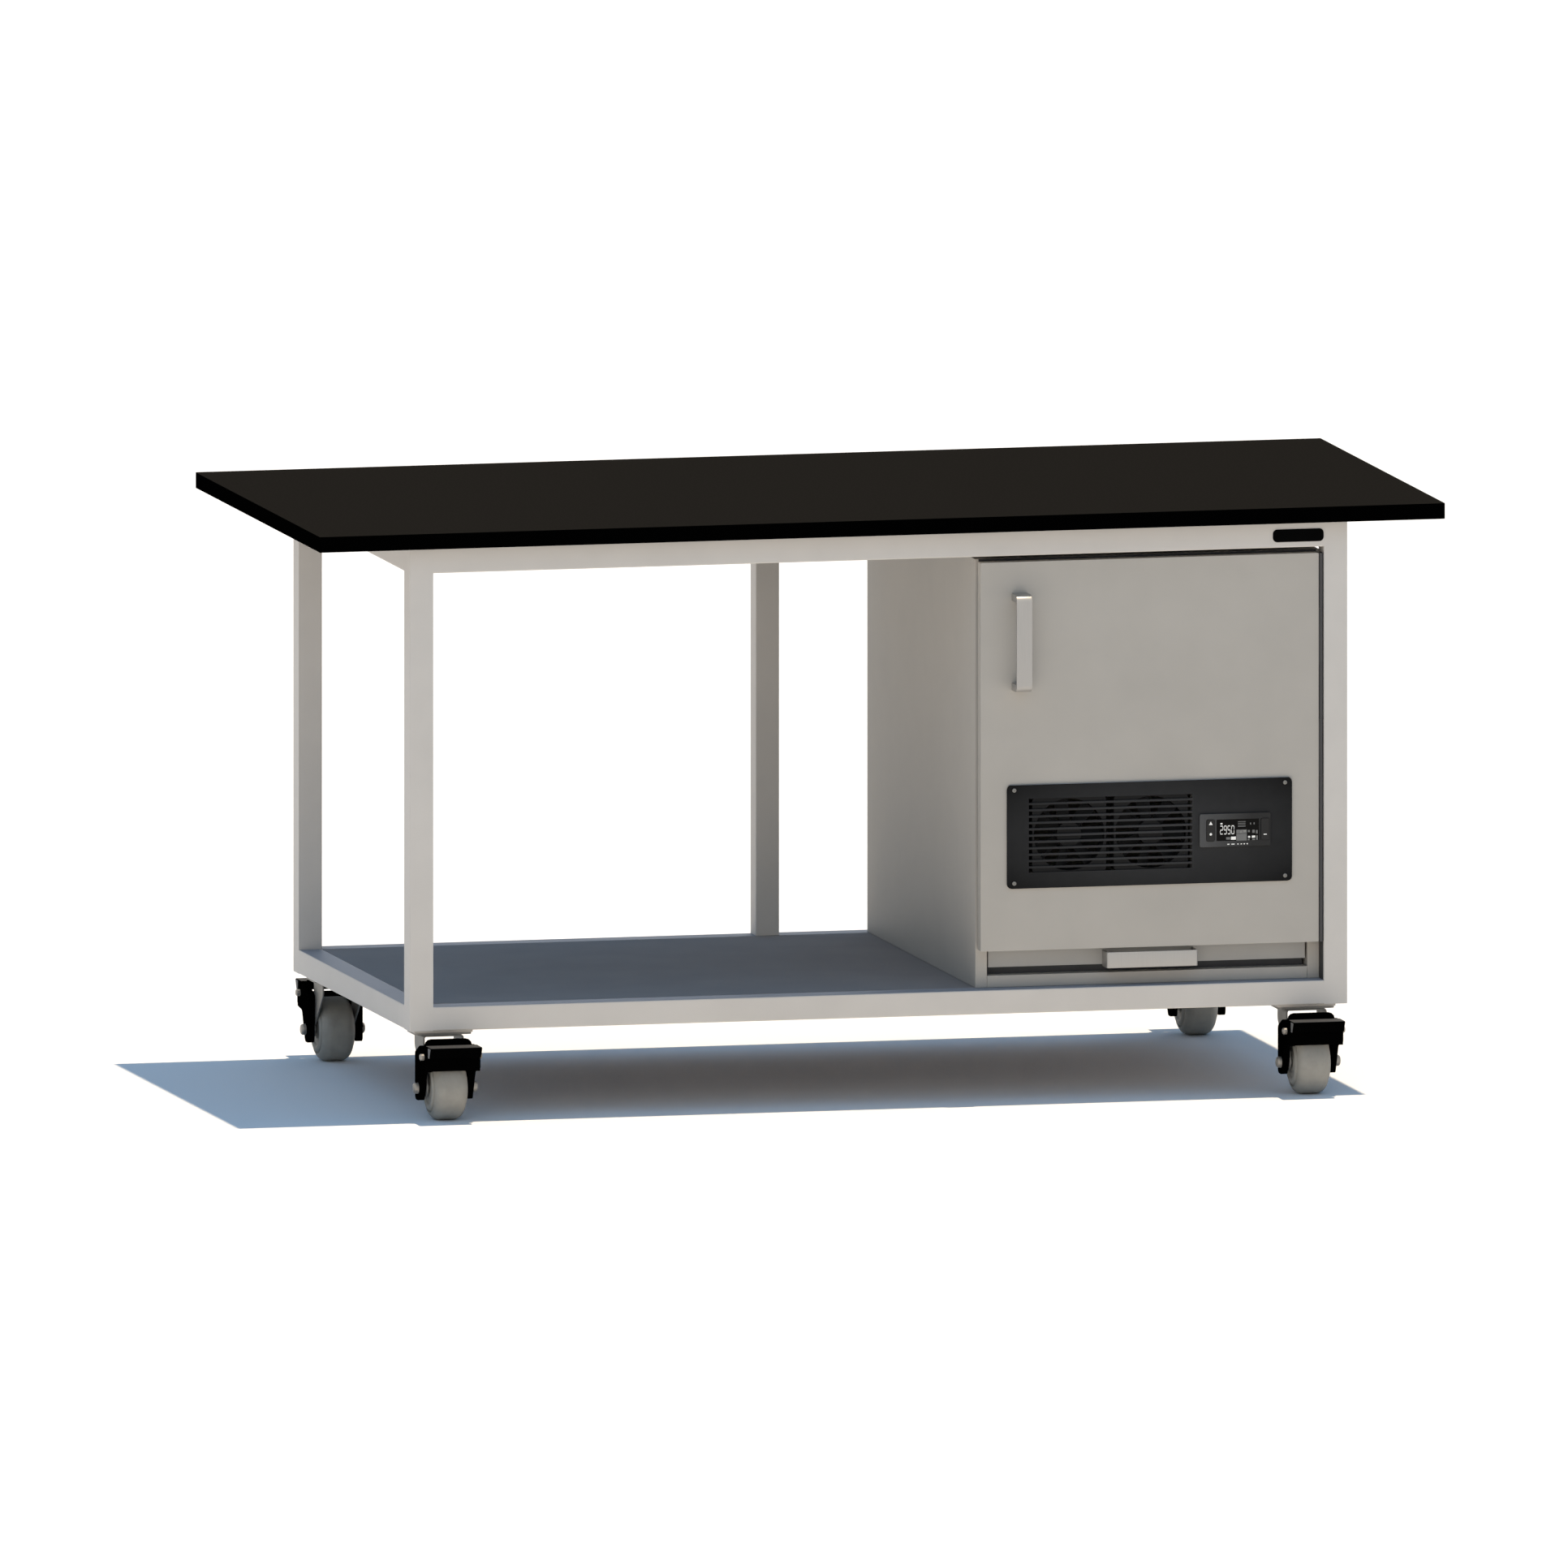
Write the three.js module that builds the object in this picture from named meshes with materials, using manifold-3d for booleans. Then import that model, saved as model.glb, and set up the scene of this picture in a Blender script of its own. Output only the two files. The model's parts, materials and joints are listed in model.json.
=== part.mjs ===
// Mobile laboratory bench: an overhanging worktop on a welded square-tube frame, a flush lower shelf, a
// vented cabinet with a fan door and a pull-out tray, and four swivel casters with total-lock brakes.
// Millimetres, +X to the right, +Y to the back, +Z up. The origin is on the floor under the bench's centre.

import * as THREE from 'three';
import { mergeVertices } from 'three/addons/utils/BufferGeometryUtils.js';
import Module from 'manifold-3d';

// Worktop
const TOP_LENGTH = 1828.8;
const TOP_DEPTH = 838.2;
const TOP_THICK = 25.4;
const TOP_END_OVERHANG = 152.4;
const TOP_FRONT_OVERHANG = 25.4;

// Frame of square tube
const FRAME_LENGTH = TOP_LENGTH - 2 * TOP_END_OVERHANG;
const FRAME_DEPTH = TOP_DEPTH - 2 * TOP_FRONT_OVERHANG;
const FRAME_HEIGHT = 770;
const TUBE = 38.1;
const TUBE_WALL = 3;
const TUBE_ROUND = 2;
const TOP_RAIL_HEIGHT = 41.2;
const MOUNT_PLATE_LENGTH = 94.4;
const MOUNT_PLATE_DEPTH = 59.3;
const MOUNT_PLATE_THICK = 6.4;

// The gap that seated pieces keep, and the gap of pieces that slide on each other
const SEAT = 0.2;
const RUN_CLEAR = 0.5;

// Lower shelf, a folded pan with stiffeners under it
const SHELF_SHEET = 2;
const SHELF_FLANGE = 30;
const STIFFENER_COUNT = 3;
const STIFFENER_WIDTH = 40;
const STIFFENER_DEPTH = 22;

// Cabinet of flat panels
const PANEL = 19.05;
const CABINET_WIDTH = 558.8;
const CABINET_TO_LEG = 0.8;
const CABINET_FRONT_SETBACK = 30;
const CABINET_REAR_SETBACK = 27.4;
const CABINET_HEADROOM = 7.4;

// Door, its gasket and its hinge
const DOOR_THICK = 19.05;
const DOOR_LEFT_REVEAL = 2.8;
const DOOR_TOP_REVEAL = 3.2;
const DOOR_HINGE_GAP = 7.3;
const DOOR_ROUND = 1.5;
const TRAY_SLOT_HEIGHT = 41.7;
const GASKET_THICK = 5.95;
const GASKET_WIDTH = 13;
const GASKET_INSET = 2;
const LEAF_THICK = 1.2;
const LEAF_WIDTH = 16;
const KNUCKLE_INSET = 0.7;
const KNUCKLE_COUNT = 7;
const KNUCKLE_GAP = 0.4;
const HINGE_PIN_RADIUS = 1.2;
const HINGE_PIN_CLEAR = 0.3;
const HINGE_AXIS_BEFORE_DOOR = 0.5;

// Door handle, a flat plate between two thick posts
const HANDLE_WIDTH = 25.4;
const HANDLE_SPAN = 154.9;
const HANDLE_REACH = 35.3;
const HANDLE_PLATE = 5;
const HANDLE_POST = 12.4;
const HANDLE_BEND = 10;
const HANDLE_FROM_EDGE = 50.3;
const HANDLE_FROM_TOP = 49.3;

// Vent plate with its slot grille
const VENT_WIDTH = 463.1;
const VENT_HEIGHT = 165.3;
const VENT_THICK = 3;
const VENT_ROUND = 7.5;
const VENT_OFFSET = 1;
const VENT_FROM_BOTTOM = 98.95;
const VENT_FEATURE_RISE = 1.2;
const CONTROL_WIDTH = 115.1;
const CONTROL_HEIGHT = 52.6;
const CONTROL_FROM_RIGHT = 35.7;
const CONTROL_TO_SLOT = 11.7;
const SLOT_COUNT = 12;
const SLOT_PITCH = 10.1;
const SLOT_HEIGHT = 6.6;
const SLOT_FROM_LEFT = 35.3;
const SLOT_LENGTH = VENT_WIDTH - SLOT_FROM_LEFT - CONTROL_TO_SLOT - CONTROL_WIDTH - CONTROL_FROM_RIGHT;

// Two fans behind the grille, each in its half
const FAN_SPACING = SLOT_LENGTH / 2;
const FAN_GAP = 12.65;
const FAN_SIZE = FAN_SPACING - FAN_GAP;
const FAN_DEPTH = 25;
const FAN_ROUND = 6;
const FAN_RIM = 2.5;
const FAN_BORE_RADIUS = FAN_SIZE / 2 - FAN_RIM;
const FAN_WINDOW_CLEAR = 2;
const FAN_STRUT = 6;
const FAN_STRUT_DEPTH = 3;
const FAN_HUB_RADIUS = 20;
const FAN_TIP_CLEAR = 1.5;
const FAN_FACE_CLEAR = 1.5;
const BLADE_COUNT = 7;
const BLADE_THICK = 1.6;
const BLADE_PITCH = 0.62;
const BLADE_FILL = 0.8;
const BLADE_ROOT_SHARE = 0.32;
const FAN_SHAFT_RADIUS = 2.5;
const FAN_SHAFT_CLEAR = 0.3;

// Controller with its display window and two keys
const CONTROL_ROUND = 3;
const BEZEL_THICK = 3;
const CONTROL_BODY_MARGIN = 1.5;
const CONTROL_BODY_DEPTH = 20;
const CONTROL_WINDOW_CLEAR = 0.5;
const KEY_WIDTH = 14;
const KEY_HEIGHT = 35;
const KEY_ROUND = 3;
const KEY_LEFT_MARGIN = 10.7;
const KEY_RIGHT_MARGIN = 2;
const KEY_CLEAR = 0.3;
const KEY_PROUD = 1;
const KEY_TRAVEL = 1;
const KEY_POCKET = 4;
const DISPLAY_WIDTH = 69;
const DISPLAY_HEIGHT = 34;
const DISPLAY_FROM_KEY = 2.6;
const DISPLAY_RECESS = 0.6;

// Pull-out tray on its runners
const TRAY_SETBACK = 5;
const TRAY_SIDE_CLEAR = 3;
const TRAY_LIFT = 12.7;
const TRAY_DOOR_CLEAR = 2.55;
const TRAY_LIP = 4.5;
const TRAY_SHEET = 2.5;
const TRAY_FLANGE_LIFT = 2;
const TRAY_REAR_CLEAR = 40;
const RUNNER_WIDTH = 12;
const RUNNER_HEIGHT = 22;
const RUNNER_SHEET = 2;
const PULL_SPAN = 148;
const PULL_HEIGHT = 25.2;
const PULL_REACH = 33;
const PULL_BAR = 4;
const PULL_BEND = 5;
const PULL_DROP = 3.05;
const PULL_OFFSET = 1.9;

// Casters
const CASTER_INSET_X = 60.8;
const CASTER_INSET_Y = 54;
const CASTER_HEIGHT = 136.5;
const CASTER_PLATE_LENGTH = 92;
const CASTER_PLATE_DEPTH = 60;
const CASTER_PLATE_THICK = 3;
const CASTER_PLATE_ROUND = 6;
const SWIVEL_CLEAR = 0.4;
const KINGPIN_RADIUS = 8;
const KINGPIN_CLEAR = 0.5;
const WHEEL_RADIUS = 50.8;
const WHEEL_WIDTH = 54;
const WHEEL_SHOULDER = 17;
const WHEEL_RIM_RADIUS = 31.5;
const WHEEL_HUB_RADIUS = 14;
const WHEEL_RECESS = 3.5;
const WHEEL_BORE_CLEAR = 0.3;
const CASTER_LEAD = 40.3;
const FORK_SHEET = 2.5;
const FORK_SIDE_CLEAR = 3.5;
const FORK_DEPTH = 59.3;
const FORK_BEND = 5;
const FORK_SHOULDER = 22;
const FORK_ROUND = 12;
const FORK_BOSS_RADIUS = 14;
const AXLE_RADIUS = 6;
const AXLE_HEAD_RADIUS = 8;
const AXLE_HEAD_LENGTH = 7.4;
const AXLE_HEAD_ROUND = 4;

// Brake of a caster: a housing over the fork and a pedal that rocks on its stub pins
const BRAKE_ARM = 9.8;
const BRAKE_WALL = 5;
const BRAKE_CLEAR = 1.2;
const BRAKE_TOP_DROP = 6;
const BRAKE_WALL_AHEAD = 22.7;
const BRAKE_WALL_HALF = 38;
const BRAKE_WALL_HEIGHT = 11.5;
const BRAKE_WALL_ROOT = 8;
const BRAKE_WALL_ROUND = 10;
const BRAKE_WALL_SLOPE = 14;
const BRAKE_WALL_DROP = 17.5;
const BRAKE_ARM_RISE = 69.2;
const BRAKE_ARM_REAR = 21.5;
const BRAKE_ARM_REAR_DROP = 13;
const BRAKE_ARM_FRONT = 53.5;
const BRAKE_ARM_ROUND = 8;
const BRAKE_KNEE_AHEAD = 24;
const BRAKE_KNEE_RISE = 28;
const BRAKE_TIP_DROP = 19.5;
const BRAKE_TIP_AHEAD = 3;
const SKIRT_OVERHANG = 0.5;
const SKIRT_REACH = 7.5;
const SKIRT_RISE = 54;
const SKIRT_HEIGHT = 22.5;
const SKIRT_SLOPE = 6;
const PIVOT_RISE = 54;
const PIVOT_AHEAD = 38;
const PIVOT_RADIUS = 3;
const PIVOT_CLEAR = 0.3;
const PEDAL_WIDTH = 84;
const PEDAL_REACH = 77;
const PEDAL_DEPTH = 37.5;
const PEDAL_SHEET = 3.5;
const PEDAL_LIP = 17;
const PEDAL_LIP_SLOPE = 9;
const PEDAL_END = 18;
const PEDAL_TOP_DROP = 14;
const PEDAL_WEB = 4;
const PEDAL_WEB_CLEAR = 1;
const PEDAL_WEB_AHEAD = 25;
const PEDAL_BOSS = 6;
const PEDAL_BOSS_ROUND = 4.8;

// Facets of round forms
const ARC_STEPS = 3;
const ROUND_SIDES = 12;
const BORE_SIDES = 32;
const WHEEL_SIDES = 20;

// How far the parts of one fused piece reach into each other
const FUSE = 1;

// Places that follow from the sizes, measured from the frame's left, front and bottom faces
const FRAME_BOTTOM = CASTER_HEIGHT + MOUNT_PLATE_THICK;
const RAIL_UNDERSIDE = FRAME_HEIGHT - TOP_RAIL_HEIGHT;
const LEG_INNER = FRAME_LENGTH - TUBE;

const cabinet = {
  left: LEG_INNER - CABINET_TO_LEG - CABINET_WIDTH,
  right: LEG_INNER - CABINET_TO_LEG,
  front: CABINET_FRONT_SETBACK,
  back: FRAME_DEPTH - CABINET_REAR_SETBACK,
  bottom: TUBE + SEAT,
  top: RAIL_UNDERSIDE - CABINET_HEADROOM,
};
const inside = {
  left: cabinet.left + PANEL,
  right: cabinet.right - PANEL,
  back: cabinet.back - PANEL,
  bottom: cabinet.bottom + PANEL,
  top: cabinet.top - PANEL,
};
const door = {
  left: cabinet.left + DOOR_LEFT_REVEAL,
  right: LEG_INNER - DOOR_HINGE_GAP,
  front: cabinet.front - GASKET_THICK - DOOR_THICK,
  back: cabinet.front - GASKET_THICK,
  bottom: inside.bottom + TRAY_SLOT_HEIGHT,
  top: cabinet.top - DOOR_TOP_REVEAL,
};
const ventCentre = (door.left + door.right) / 2 - VENT_OFFSET;
const vent = {
  left: ventCentre - VENT_WIDTH / 2,
  right: ventCentre + VENT_WIDTH / 2,
  bottom: door.bottom + VENT_FROM_BOTTOM,
  top: door.bottom + VENT_FROM_BOTTOM + VENT_HEIGHT,
  front: door.front - SEAT - VENT_THICK,
  back: door.front - SEAT,
};
vent.middle = (vent.bottom + vent.top) / 2 + VENT_FEATURE_RISE;

const wasm = await Module();
wasm.setup();

// A closed solid of a geometry, for joining and cutting
function solid(geometry) {
  const bare = geometry.clone();
  bare.deleteAttribute('normal');
  bare.deleteAttribute('uv');
  const merged = mergeVertices(bare);
  return new wasm.Manifold(new wasm.Mesh({
    numProp: 3,
    vertProperties: Float32Array.from(merged.attributes.position.array),
    triVerts: Uint32Array.from(merged.index.array),
  }));
}

function geometryOf(manifold) {
  const { vertProperties, triVerts } = manifold.getMesh();
  const geometry = new THREE.BufferGeometry();
  geometry.setAttribute('position', new THREE.BufferAttribute(vertProperties, 3));
  geometry.setIndex(new THREE.BufferAttribute(triVerts, 1));
  geometry.computeVertexNormals();
  return geometry;
}

function join(...geometries) {
  return geometryOf(geometries.map(solid).reduce((sum, next) => sum.add(next)));
}

function cut(base, ...tools) {
  return geometryOf(tools.map(solid).reduce((rest, tool) => rest.subtract(tool), solid(base)));
}

function common(first, second) {
  return geometryOf(solid(first).intersect(solid(second)));
}

function ordered(first, second) {
  return [Math.min(first, second), Math.max(first, second)];
}

// A box between two limits on each axis
function block([x0, x1], [y0, y1], [z0, z1]) {
  const geometry = new THREE.BoxGeometry(x1 - x0, y1 - y0, z1 - z0);
  return geometry.translate((x0 + x1) / 2, (y0 + y1) / 2, (z0 + z1) / 2);
}

// A closed outline through corners [x, y, radius], each corner rounded by its tangent arc
function outline(corners, steps = ARC_STEPS) {
  const points = corners.flatMap(([x, y, radius = 0], index) => {
    const corner = new THREE.Vector2(x, y);
    if (radius === 0) {
      return [corner];
    }
    const before = new THREE.Vector2(...corners.at(index - 1)).sub(corner).normalize();
    const after = new THREE.Vector2(...corners[(index + 1) % corners.length]).sub(corner).normalize();
    const half = Math.acos(before.dot(after)) / 2;
    const middle = before.clone().add(after).normalize();
    const centre = corner.clone().addScaledVector(middle, radius / Math.sin(half));
    const start = before.multiplyScalar(radius / Math.tan(half)).add(corner).sub(centre).angle();
    const turn = Math.sign(after.cross(middle)) * (Math.PI - 2 * half);
    return Array.from({ length: steps + 1 }, (_, step) => {
      const angle = start + turn * step / steps;
      return new THREE.Vector2(Math.cos(angle), Math.sin(angle)).multiplyScalar(radius).add(centre);
    });
  });
  return new THREE.Shape(points);
}

function rectangle([x0, x1], [y0, y1], radius = 0) {
  return outline([[x0, y0, radius], [x1, y0, radius], [x1, y1, radius], [x0, y1, radius]]);
}

// An outline of (X, Y), (X, Z) or (Y, Z) points carried along the third axis
const UNIT_X = new THREE.Vector3(1, 0, 0);
const UNIT_Y = new THREE.Vector3(0, 1, 0);
const UNIT_Z = new THREE.Vector3(0, 0, 1);
const ALONG = {
  x: new THREE.Matrix4().makeBasis(UNIT_Y, UNIT_Z, UNIT_X),
  y: new THREE.Matrix4().makeBasis(UNIT_X, UNIT_Z, UNIT_Y.clone().negate()),
  z: new THREE.Matrix4(),
};

function prism(shape, axis, [from, to]) {
  const geometry = new THREE.ExtrudeGeometry(shape, { depth: to - from, bevelEnabled: false });
  geometry.translate(0, 0, axis === 'y' ? -to : from);
  return geometry.applyMatrix4(ALONG[axis]);
}

// A round bar along an axis, through a point of the two other axes
function rod(axis, radius, [from, to], [first, second], sides = ROUND_SIDES) {
  const geometry = new THREE.CylinderGeometry(radius, radius, to - from, sides);
  geometry.rotateX(Math.PI / 2);
  const shift = axis === 'y' ? -(from + to) / 2 : (from + to) / 2;
  return geometry.translate(first, second, shift).applyMatrix4(ALONG[axis]);
}

// A bar bent to a bow: its span on the first axis, its two feet and its back at places on the second
function bow(span, foot, back, bar, bend, post = bar) {
  const half = span / 2;
  const inner = half - post;
  const innerBack = back - bar * Math.sign(back - foot);
  const innerBend = Math.max(bend - bar, bar / 4);
  return outline([
    [-half, foot], [-half, back, bend], [half, back, bend], [half, foot],
    [inner, foot], [inner, innerBack, innerBend], [-inner, innerBack, innerBend], [-inner, foot],
  ]);
}

function finish(color, roughness, metalness) {
  return new THREE.MeshStandardMaterial({ color, roughness, metalness });
}

const PAINT = finish(0xb5b1a8, 0.5, 0.1);
const PANEL_PAINT = finish(0xa39f96, 0.55, 0.05);
const RESIN = finish(0x25211c, 0.45, 0);
const SHELF_PAINT = finish(0xa8a69f, 0.5, 0.1);
const RUBBER = finish(0x1c1d20, 0.8, 0);
const SATIN_STEEL = finish(0xc4c1ba, 0.3, 1);
const DARK_STEEL = finish(0x4a4a4c, 0.4, 0.9);
const ZINC = finish(0x85837d, 0.4, 0.9);
const BLACK_METAL = finish(0x1e1e1f, 0.5, 0.2);
const BLACK_PLASTIC = finish(0x121213, 0.55, 0);
const WHEEL_GREY = finish(0x827e76, 0.6, 0);

function piece(name, geometry, material) {
  const mesh = new THREE.Mesh(geometry, material);
  mesh.name = name;
  return mesh;
}

// Square tube between two ends: the section is a hollow rectangle across the axis
function tube(axis, first, second, ends, section = rectangle(first, second, TUBE_ROUND)) {
  const bore = [first, second].map(([low, high]) => [low + TUBE_WALL, high - TUBE_WALL]);
  section.holes.push(rectangle(...bore));
  return prism(section, axis, ends);
}

function shared(first, second) {
  return [Math.max(first[0], second[0]), Math.min(first[1], second[1])];
}

// A corner leg, with the caster's mounting plate welded under it. The two corners that the rails run flush
// with are square.
function cornerLeg(side, end) {
  const x = side === 'left' ? 0 : FRAME_LENGTH - TUBE;
  const y = end === 'front' ? 0 : FRAME_DEPTH - TUBE;
  const plateX = side === 'left' ? CASTER_INSET_X : FRAME_LENGTH - CASTER_INSET_X;
  const plateY = end === 'front' ? CASTER_INSET_Y : FRAME_DEPTH - CASTER_INSET_Y;
  const length = [plateX - MOUNT_PLATE_LENGTH / 2, plateX + MOUNT_PLATE_LENGTH / 2];
  const depth = [plateY - MOUNT_PLATE_DEPTH / 2, plateY + MOUNT_PLATE_DEPTH / 2];
  const plate = block(length, depth, [-MOUNT_PLATE_THICK, -SEAT]);
  const [even, odd] = (side === 'left') === (end === 'front') ? [TUBE_ROUND, 0] : [0, TUBE_ROUND];
  const section = outline([
    [x, y, even], [x + TUBE, y, odd], [x + TUBE, y + TUBE, even], [x, y + TUBE, odd],
  ]);
  const upright = tube('z', [x, x + TUBE], [y, y + TUBE], [0, FRAME_HEIGHT], section);
  const weld = block(shared(length, [x, x + TUBE]), shared(depth, [y, y + TUBE]), [-SEAT - FUSE, FUSE]);
  return piece(`leg_${end}_${side}`, join(upright, plate, weld), PAINT);
}

function frame() {
  const group = new THREE.Group();
  for (const end of ['front', 'rear']) {
    for (const side of ['left', 'right']) {
      group.add(cornerLeg(side, end));
    }
  }
  const middle = [(FRAME_LENGTH - TUBE) / 2, (FRAME_LENGTH + TUBE) / 2];
  const rear = [FRAME_DEPTH - TUBE, FRAME_DEPTH];
  const middleLeg = tube('z', middle, rear, [TUBE + SEAT, RAIL_UNDERSIDE - SEAT]);
  group.add(piece('leg_rear_middle', middleLeg, PAINT));
  const levels = { top: [RAIL_UNDERSIDE, FRAME_HEIGHT], bottom: [0, TUBE] };
  const lengthwise = [TUBE + SEAT, FRAME_LENGTH - TUBE - SEAT];
  const crosswise = [TUBE + SEAT, FRAME_DEPTH - TUBE - SEAT];
  for (const [level, heights] of Object.entries(levels)) {
    group.add(piece(`${level}_rail_front`, tube('x', [0, TUBE], heights, lengthwise), PAINT));
    group.add(piece(`${level}_rail_rear`, tube('x', rear, heights, lengthwise), PAINT));
    group.add(piece(`${level}_rail_left`, tube('y', [0, TUBE], heights, crosswise), PAINT));
    group.add(piece(`${level}_rail_right`, tube('y', [LEG_INNER, FRAME_LENGTH], heights, crosswise), PAINT));
  }
  return group;
}

function surfaces() {
  const group = new THREE.Group();
  const worktop = block(
    [-TOP_END_OVERHANG, FRAME_LENGTH + TOP_END_OVERHANG],
    [-TOP_FRONT_OVERHANG, FRAME_DEPTH + TOP_FRONT_OVERHANG],
    [FRAME_HEIGHT + SEAT, FRAME_HEIGHT + SEAT + TOP_THICK],
  );
  group.add(piece('worktop', worktop, RESIN));

  const x = [TUBE + SEAT, FRAME_LENGTH - TUBE - SEAT];
  const y = [TUBE + SEAT, FRAME_DEPTH - TUBE - SEAT];
  const hollowX = [x[0] + SHELF_SHEET, x[1] - SHELF_SHEET];
  const hollowY = [y[0] + SHELF_SHEET, y[1] - SHELF_SHEET];
  const underside = TUBE - SHELF_SHEET;
  const pan = cut(
    block(x, y, [TUBE - SHELF_FLANGE, TUBE]),
    block(hollowX, hollowY, [TUBE - SHELF_FLANGE - FUSE, underside]),
  );
  const step = (x[1] - x[0]) / (STIFFENER_COUNT + 1);
  const stiffeners = Array.from({ length: STIFFENER_COUNT }, (_, index) => {
    const middle = x[0] + step * (index + 1);
    const width = [middle - STIFFENER_WIDTH / 2, middle + STIFFENER_WIDTH / 2];
    return block(width, y, [underside - STIFFENER_DEPTH, underside + FUSE]);
  });
  group.add(piece('lower_shelf', join(pan, ...stiffeners), SHELF_PAINT));
  return group;
}

function cabinetBox() {
  const group = new THREE.Group();
  const depth = [cabinet.front, cabinet.back];
  const height = [cabinet.bottom, cabinet.top];
  const between = [inside.left + SEAT, inside.right - SEAT];
  const panels = {
    cabinet_left_side: block([cabinet.left, inside.left], depth, height),
    cabinet_right_side: block([inside.right, cabinet.right], depth, height),
    cabinet_top: block(between, depth, [inside.top, cabinet.top]),
    cabinet_floor: block(between, depth, [cabinet.bottom, inside.bottom]),
    cabinet_back: block(between, [inside.back, cabinet.back], [inside.bottom + SEAT, inside.top - SEAT]),
  };
  for (const [name, geometry] of Object.entries(panels)) {
    group.add(piece(name, geometry, PANEL_PAINT));
  }
  return group;
}

// The door's hinge axis runs up the middle of the gap between the door's edge and the leg
const hinge = {
  x: (door.right + LEG_INNER) / 2,
  y: door.front - HINGE_AXIS_BEFORE_DOOR,
  leafFace: DOOR_HINGE_GAP / 2 - SEAT,
  knuckle: DOOR_HINGE_GAP / 2 - SEAT - KNUCKLE_INSET,
};

// One leaf of the continuous hinge, with every second knuckle: side is -1 at the door and 1 at the leg
function hingeLeaf(side, firstKnuckle) {
  const x = ordered(hinge.x + side * hinge.leafFace, hinge.x + side * (hinge.leafFace - LEAF_THICK));
  const start = hinge.y + hinge.knuckle;
  const pieces = [block(x, [start, start + LEAF_WIDTH], [door.bottom, door.top])];
  const pitch = (door.top - door.bottom) / KNUCKLE_COUNT;
  for (let index = firstKnuckle; index < KNUCKLE_COUNT; index += 2) {
    const low = door.bottom + pitch * index + KNUCKLE_GAP / 2;
    const span = [low, low + pitch - KNUCKLE_GAP];
    pieces.push(rod('z', hinge.knuckle, span, [hinge.x, hinge.y]));
    pieces.push(block(x, [hinge.y, start + FUSE], span));
  }
  const length = [door.bottom - FUSE, door.top + FUSE];
  return cut(join(...pieces), rod('z', HINGE_PIN_RADIUS + HINGE_PIN_CLEAR, length, [hinge.x, hinge.y]));
}

// The two windows of the door, which the fans and the controller reach through
const grille = {
  left: vent.left + SLOT_FROM_LEFT,
  middle: vent.left + SLOT_FROM_LEFT + SLOT_LENGTH / 2,
};
const control = {
  left: vent.right - CONTROL_FROM_RIGHT - CONTROL_WIDTH,
  right: vent.right - CONTROL_FROM_RIGHT,
  bottom: vent.middle - CONTROL_HEIGHT / 2,
  top: vent.middle + CONTROL_HEIGHT / 2,
};

function fanWindow() {
  const halfWidth = SLOT_LENGTH / 2 + FAN_WINDOW_CLEAR;
  const halfHeight = FAN_SIZE / 2 + FAN_WINDOW_CLEAR;
  return rectangle(
    [grille.middle - halfWidth, grille.middle + halfWidth],
    [vent.middle - halfHeight, vent.middle + halfHeight],
  );
}

function controlWindow() {
  const margin = CONTROL_BODY_MARGIN - CONTROL_WINDOW_CLEAR;
  return rectangle(
    [control.left + margin, control.right - margin],
    [control.bottom + margin, control.top - margin],
  );
}

function doorSet() {
  const group = new THREE.Group();
  const face = rectangle([door.left, door.right], [door.bottom, door.top], DOOR_ROUND);
  face.holes.push(fanWindow(), controlWindow());
  group.add(piece('door_panel', prism(face, 'y', [door.front, door.back]), PANEL_PAINT));

  const within = (inset) => rectangle(
    [door.left + inset, door.right - inset],
    [door.bottom + inset, door.top - inset],
  );
  const seal = within(GASKET_INSET);
  seal.holes.push(within(GASKET_INSET + GASKET_WIDTH));
  group.add(piece('door_gasket', prism(seal, 'y', [door.back + SEAT, cabinet.front - SEAT]), RUBBER));

  const bar = bow(HANDLE_SPAN, 0, -HANDLE_REACH, HANDLE_PLATE, HANDLE_BEND, HANDLE_POST);
  const handle = piece('door_handle', prism(bar, 'z', [-HANDLE_WIDTH / 2, HANDLE_WIDTH / 2]), SATIN_STEEL);
  handle.rotation.y = Math.PI / 2;
  handle.position.set(
    door.left + HANDLE_FROM_EDGE + HANDLE_WIDTH / 2,
    door.front - SEAT,
    door.top - HANDLE_FROM_TOP - HANDLE_SPAN / 2,
  );
  group.add(handle);

  group.add(piece('hinge_frame_leaf', hingeLeaf(1, 0), DARK_STEEL));
  group.add(piece('hinge_door_leaf', hingeLeaf(-1, 1), DARK_STEEL));
  const pin = rod('z', HINGE_PIN_RADIUS, [door.bottom, door.top], [hinge.x, hinge.y]);
  group.add(piece('hinge_pin', pin, DARK_STEEL));
  return group;
}

function ventPlate() {
  const face = rectangle([vent.left, vent.right], [vent.bottom, vent.top], VENT_ROUND);
  const lowest = vent.middle - SLOT_PITCH * (SLOT_COUNT - 1) / 2 - SLOT_HEIGHT / 2;
  for (let index = 0; index < SLOT_COUNT; index += 1) {
    const low = lowest + SLOT_PITCH * index;
    face.holes.push(rectangle([grille.left, grille.left + SLOT_LENGTH], [low, low + SLOT_HEIGHT]));
  }
  face.holes.push(controlWindow());
  return piece('vent_plate', prism(face, 'y', [vent.front, vent.back]), BLACK_METAL);
}

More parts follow.
